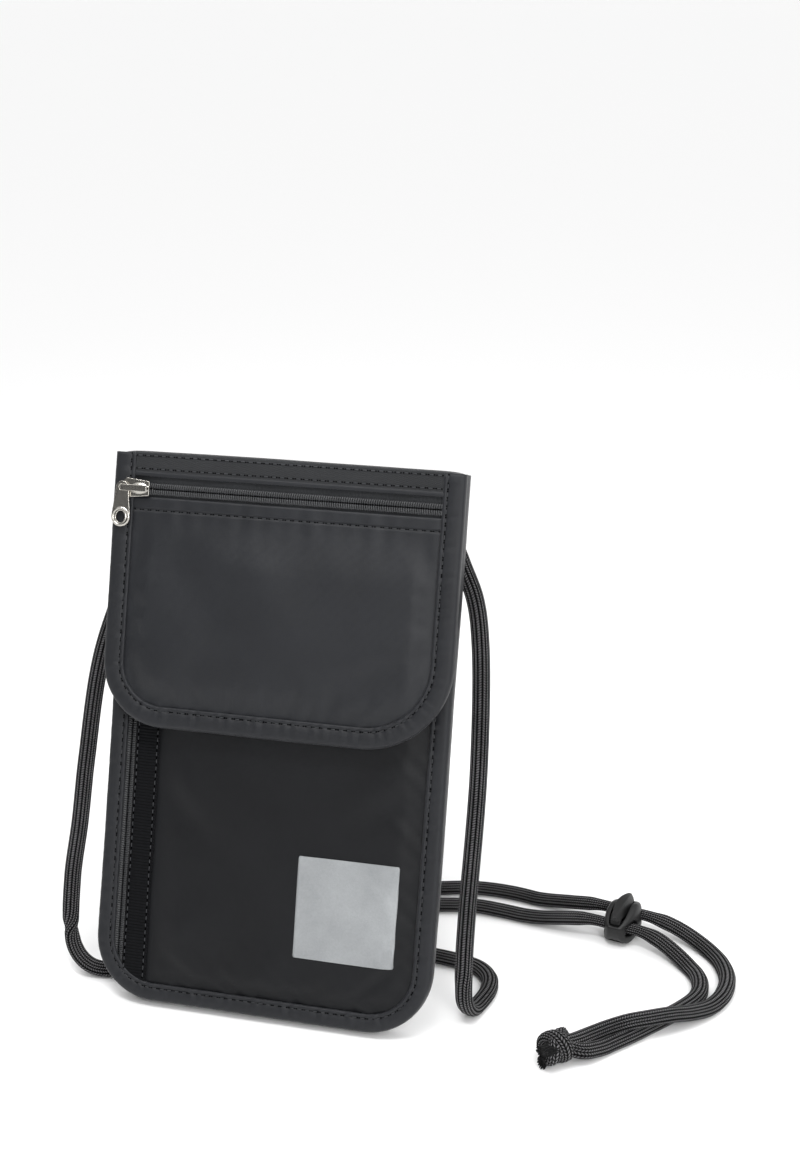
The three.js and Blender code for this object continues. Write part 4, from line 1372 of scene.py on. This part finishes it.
def add_metalwork():
    crown = ellipsoid((-0.0557, -0.0092, FLAP_ZIP["z"]), (0.0037, 0.0008, 0.0020))
    slider = softened("flap_slider_casting", "flap_zip_slider", 0.00016, 3, [crown])
    finish_piece(slider, "flap_slider", "zip_metal", METAL, "flap_zip_slider")
    eye = (-0.0619, FLAP_ZIP["z"])
    length, width = 0.017, 0.0074
    centre = (eye[0], eye[1] - length + width * 0.5 + width * 0.32)
    turns = np.linspace(0, 2 * math.pi, 48, endpoint=False)

    def oval(across, up):
        return [(centre[0] + width * across * math.cos(t), -0.0105, centre[1] + width * up * math.sin(t))
                for t in turns]
    pull = softened("flap_pull_casting", "flap_zip_pull", 0.00014, 3,
                    [ring_wire(oval(0.42, 0.42), 0.00045), ring_wire(oval(0.27, 0.33), 0.00032)])
    finish_piece(pull, "flap_pull", "zip_metal", METAL, "flap_zip_pull")
    slider = softened("pocket_slider_casting", "pocket_zip_slider", 0.00014, 3)
    finish_piece(slider, "pocket_slider", "zip_metal", METAL, "pocket_zip_slider")
    pull = softened("pocket_pull_casting", "pocket_zip_pull", 0.00014, 2)
    finish_piece(pull, "pocket_pull", "zip_metal", METAL, "pocket_zip_pull")


def reshape(obj, change):
    """Moves a piece's vertices by change(x, y, z), given and returned in the lock's own frame."""
    turn = np.array(Matrix.Rotation(LOCK["turn"], 3, "Z"))
    at = np.array((*LOCK["at"], 0.0))
    points = np.zeros(len(obj.data.vertices) * 3)
    obj.data.vertices.foreach_get("co", points)
    x, y, z = ((points.reshape(-1, 3) - at) @ turn).T
    moved = np.stack(change(x, y, z), -1)
    obj.data.vertices.foreach_set("co", (moved @ turn.T + at).ravel())
    obj.data.update()


def pebble(y, z):
    """How a point of the lock narrows: across (0 to 1), height (-1 to 1), its plan and its taper."""
    across = np.clip(np.abs(y) / LOCK["half_width"], 0, 1)
    height = np.clip((z - LOCK["middle"]) / LOCK["middle"], -1, 1)
    return across, height, np.sqrt(np.clip(1 - 0.80 * across ** 2.6, 0, 1)), 1 - 0.16 * np.abs(height) ** 2.5


def domed_body(x, y, z):
    """A pebble: narrow towards its ends, with its far-side face swollen into a dome."""
    across, height, plan, taper = pebble(y, z)
    crown = (1 - across ** 2) * (1 - height ** 2)
    swell = np.where(x > 0, 1 + 0.42 * crown, 1 + 0.12 * crown)
    lip = np.where((x > 0) & (z > LOCK["rim"] - 0.002), 0.0013 * (1 - across ** 2), 0.0)
    return x * plan * swell, y * taper, z + lip


def crescent_cap(x, y, z):
    """The plunger's cap as a crescent ridge: high in the middle, thin at both ends. It narrows with
    the body, a little more than the body does, so that it clears the rim when it is pressed in."""
    across, _, plan, taper = pebble(y, np.clip(z, LOCK["middle"], LOCK["rim"]))
    above = np.clip((z - LOCK["rim"]) / (LOCK["top"] - LOCK["rim"]), 0, 1)
    arch = np.sqrt(np.clip(1 - 0.72 * across ** 2, 0, 1))
    slim = 1 - above * (0.42 + 0.30 * across ** 2)
    shift = -0.0010 * above * (1 - across ** 2)
    ridge = np.where(above > 0, LOCK["rim"] + (z - LOCK["rim"]) * arch, z)
    return x * plan * slim + shift, y * taper * 0.985, ridge


def add_lock():
    body = softened("lock_moulding", "cord_lock_body", 0.00025, 14)
    reshape(body, domed_body)
    finish_piece(body, "cord_lock", "lock_plastic", PLASTIC, "cord_lock_body")
    plunger = softened("lock_plunger_moulding", "cord_lock_plunger", 0.00025, 10)
    reshape(plunger, crescent_cap)
    finish_piece(plunger, "lock_plunger", "lock_plastic", PLASTIC, "cord_lock_plunger")
    spring = frame["nodes"]["cord_lock_spring"]
    spring.data.materials.clear()
    spring.data.materials.append(STEEL)
    return [body, plunger]


def add_tabs():
    """The folded cloth tabs that hold the cord's ends on the back."""
    for side, sign in (("left", -1), ("right", 1)):
        tab = softened(f"tab_{side}_cloth", f"cord_tab_{side}", 0.0004, 6)
        finish_piece(tab, "pouch", "shell_fabric", BACKING, f"cord_tab_{side}")
        left, right = sign * TAB["x"] - TAB["half"], sign * TAB["x"] + TAB["half"]
        loop = [(left, TAB["low"]), (right, TAB["low"]), (right, TAB["high"]), (left, TAB["high"])]
        rows = []
        for (x0, z0), (x1, z1) in zip(loop, loop[1:] + loop[:1]):
            line = straight_line((x0, TAB["face"], z0), (x1, TAB["face"], z1), 8)
            rows.append(stitch_row("row", line, 0.0024, length=0.0018, face=1.0))
        finish_piece(join(f"tab_{side}_thread", rows), "pouch", "shell_fabric", THREAD)


# ---- assembly -------------------------------------------------------------------------------------
add_camera()
add_stage()
cords = add_cords()
knot = add_knot()
panel_front = add_body()
add_trims(panel_front)
add_patch("loop_pile", "pouch", "loop_patch", -0.0013, 0.0009, 2)
add_seam_threads()
add_flap()
add_top_fold()
add_zips()
add_metalwork()
lock = add_lock()
add_tabs()
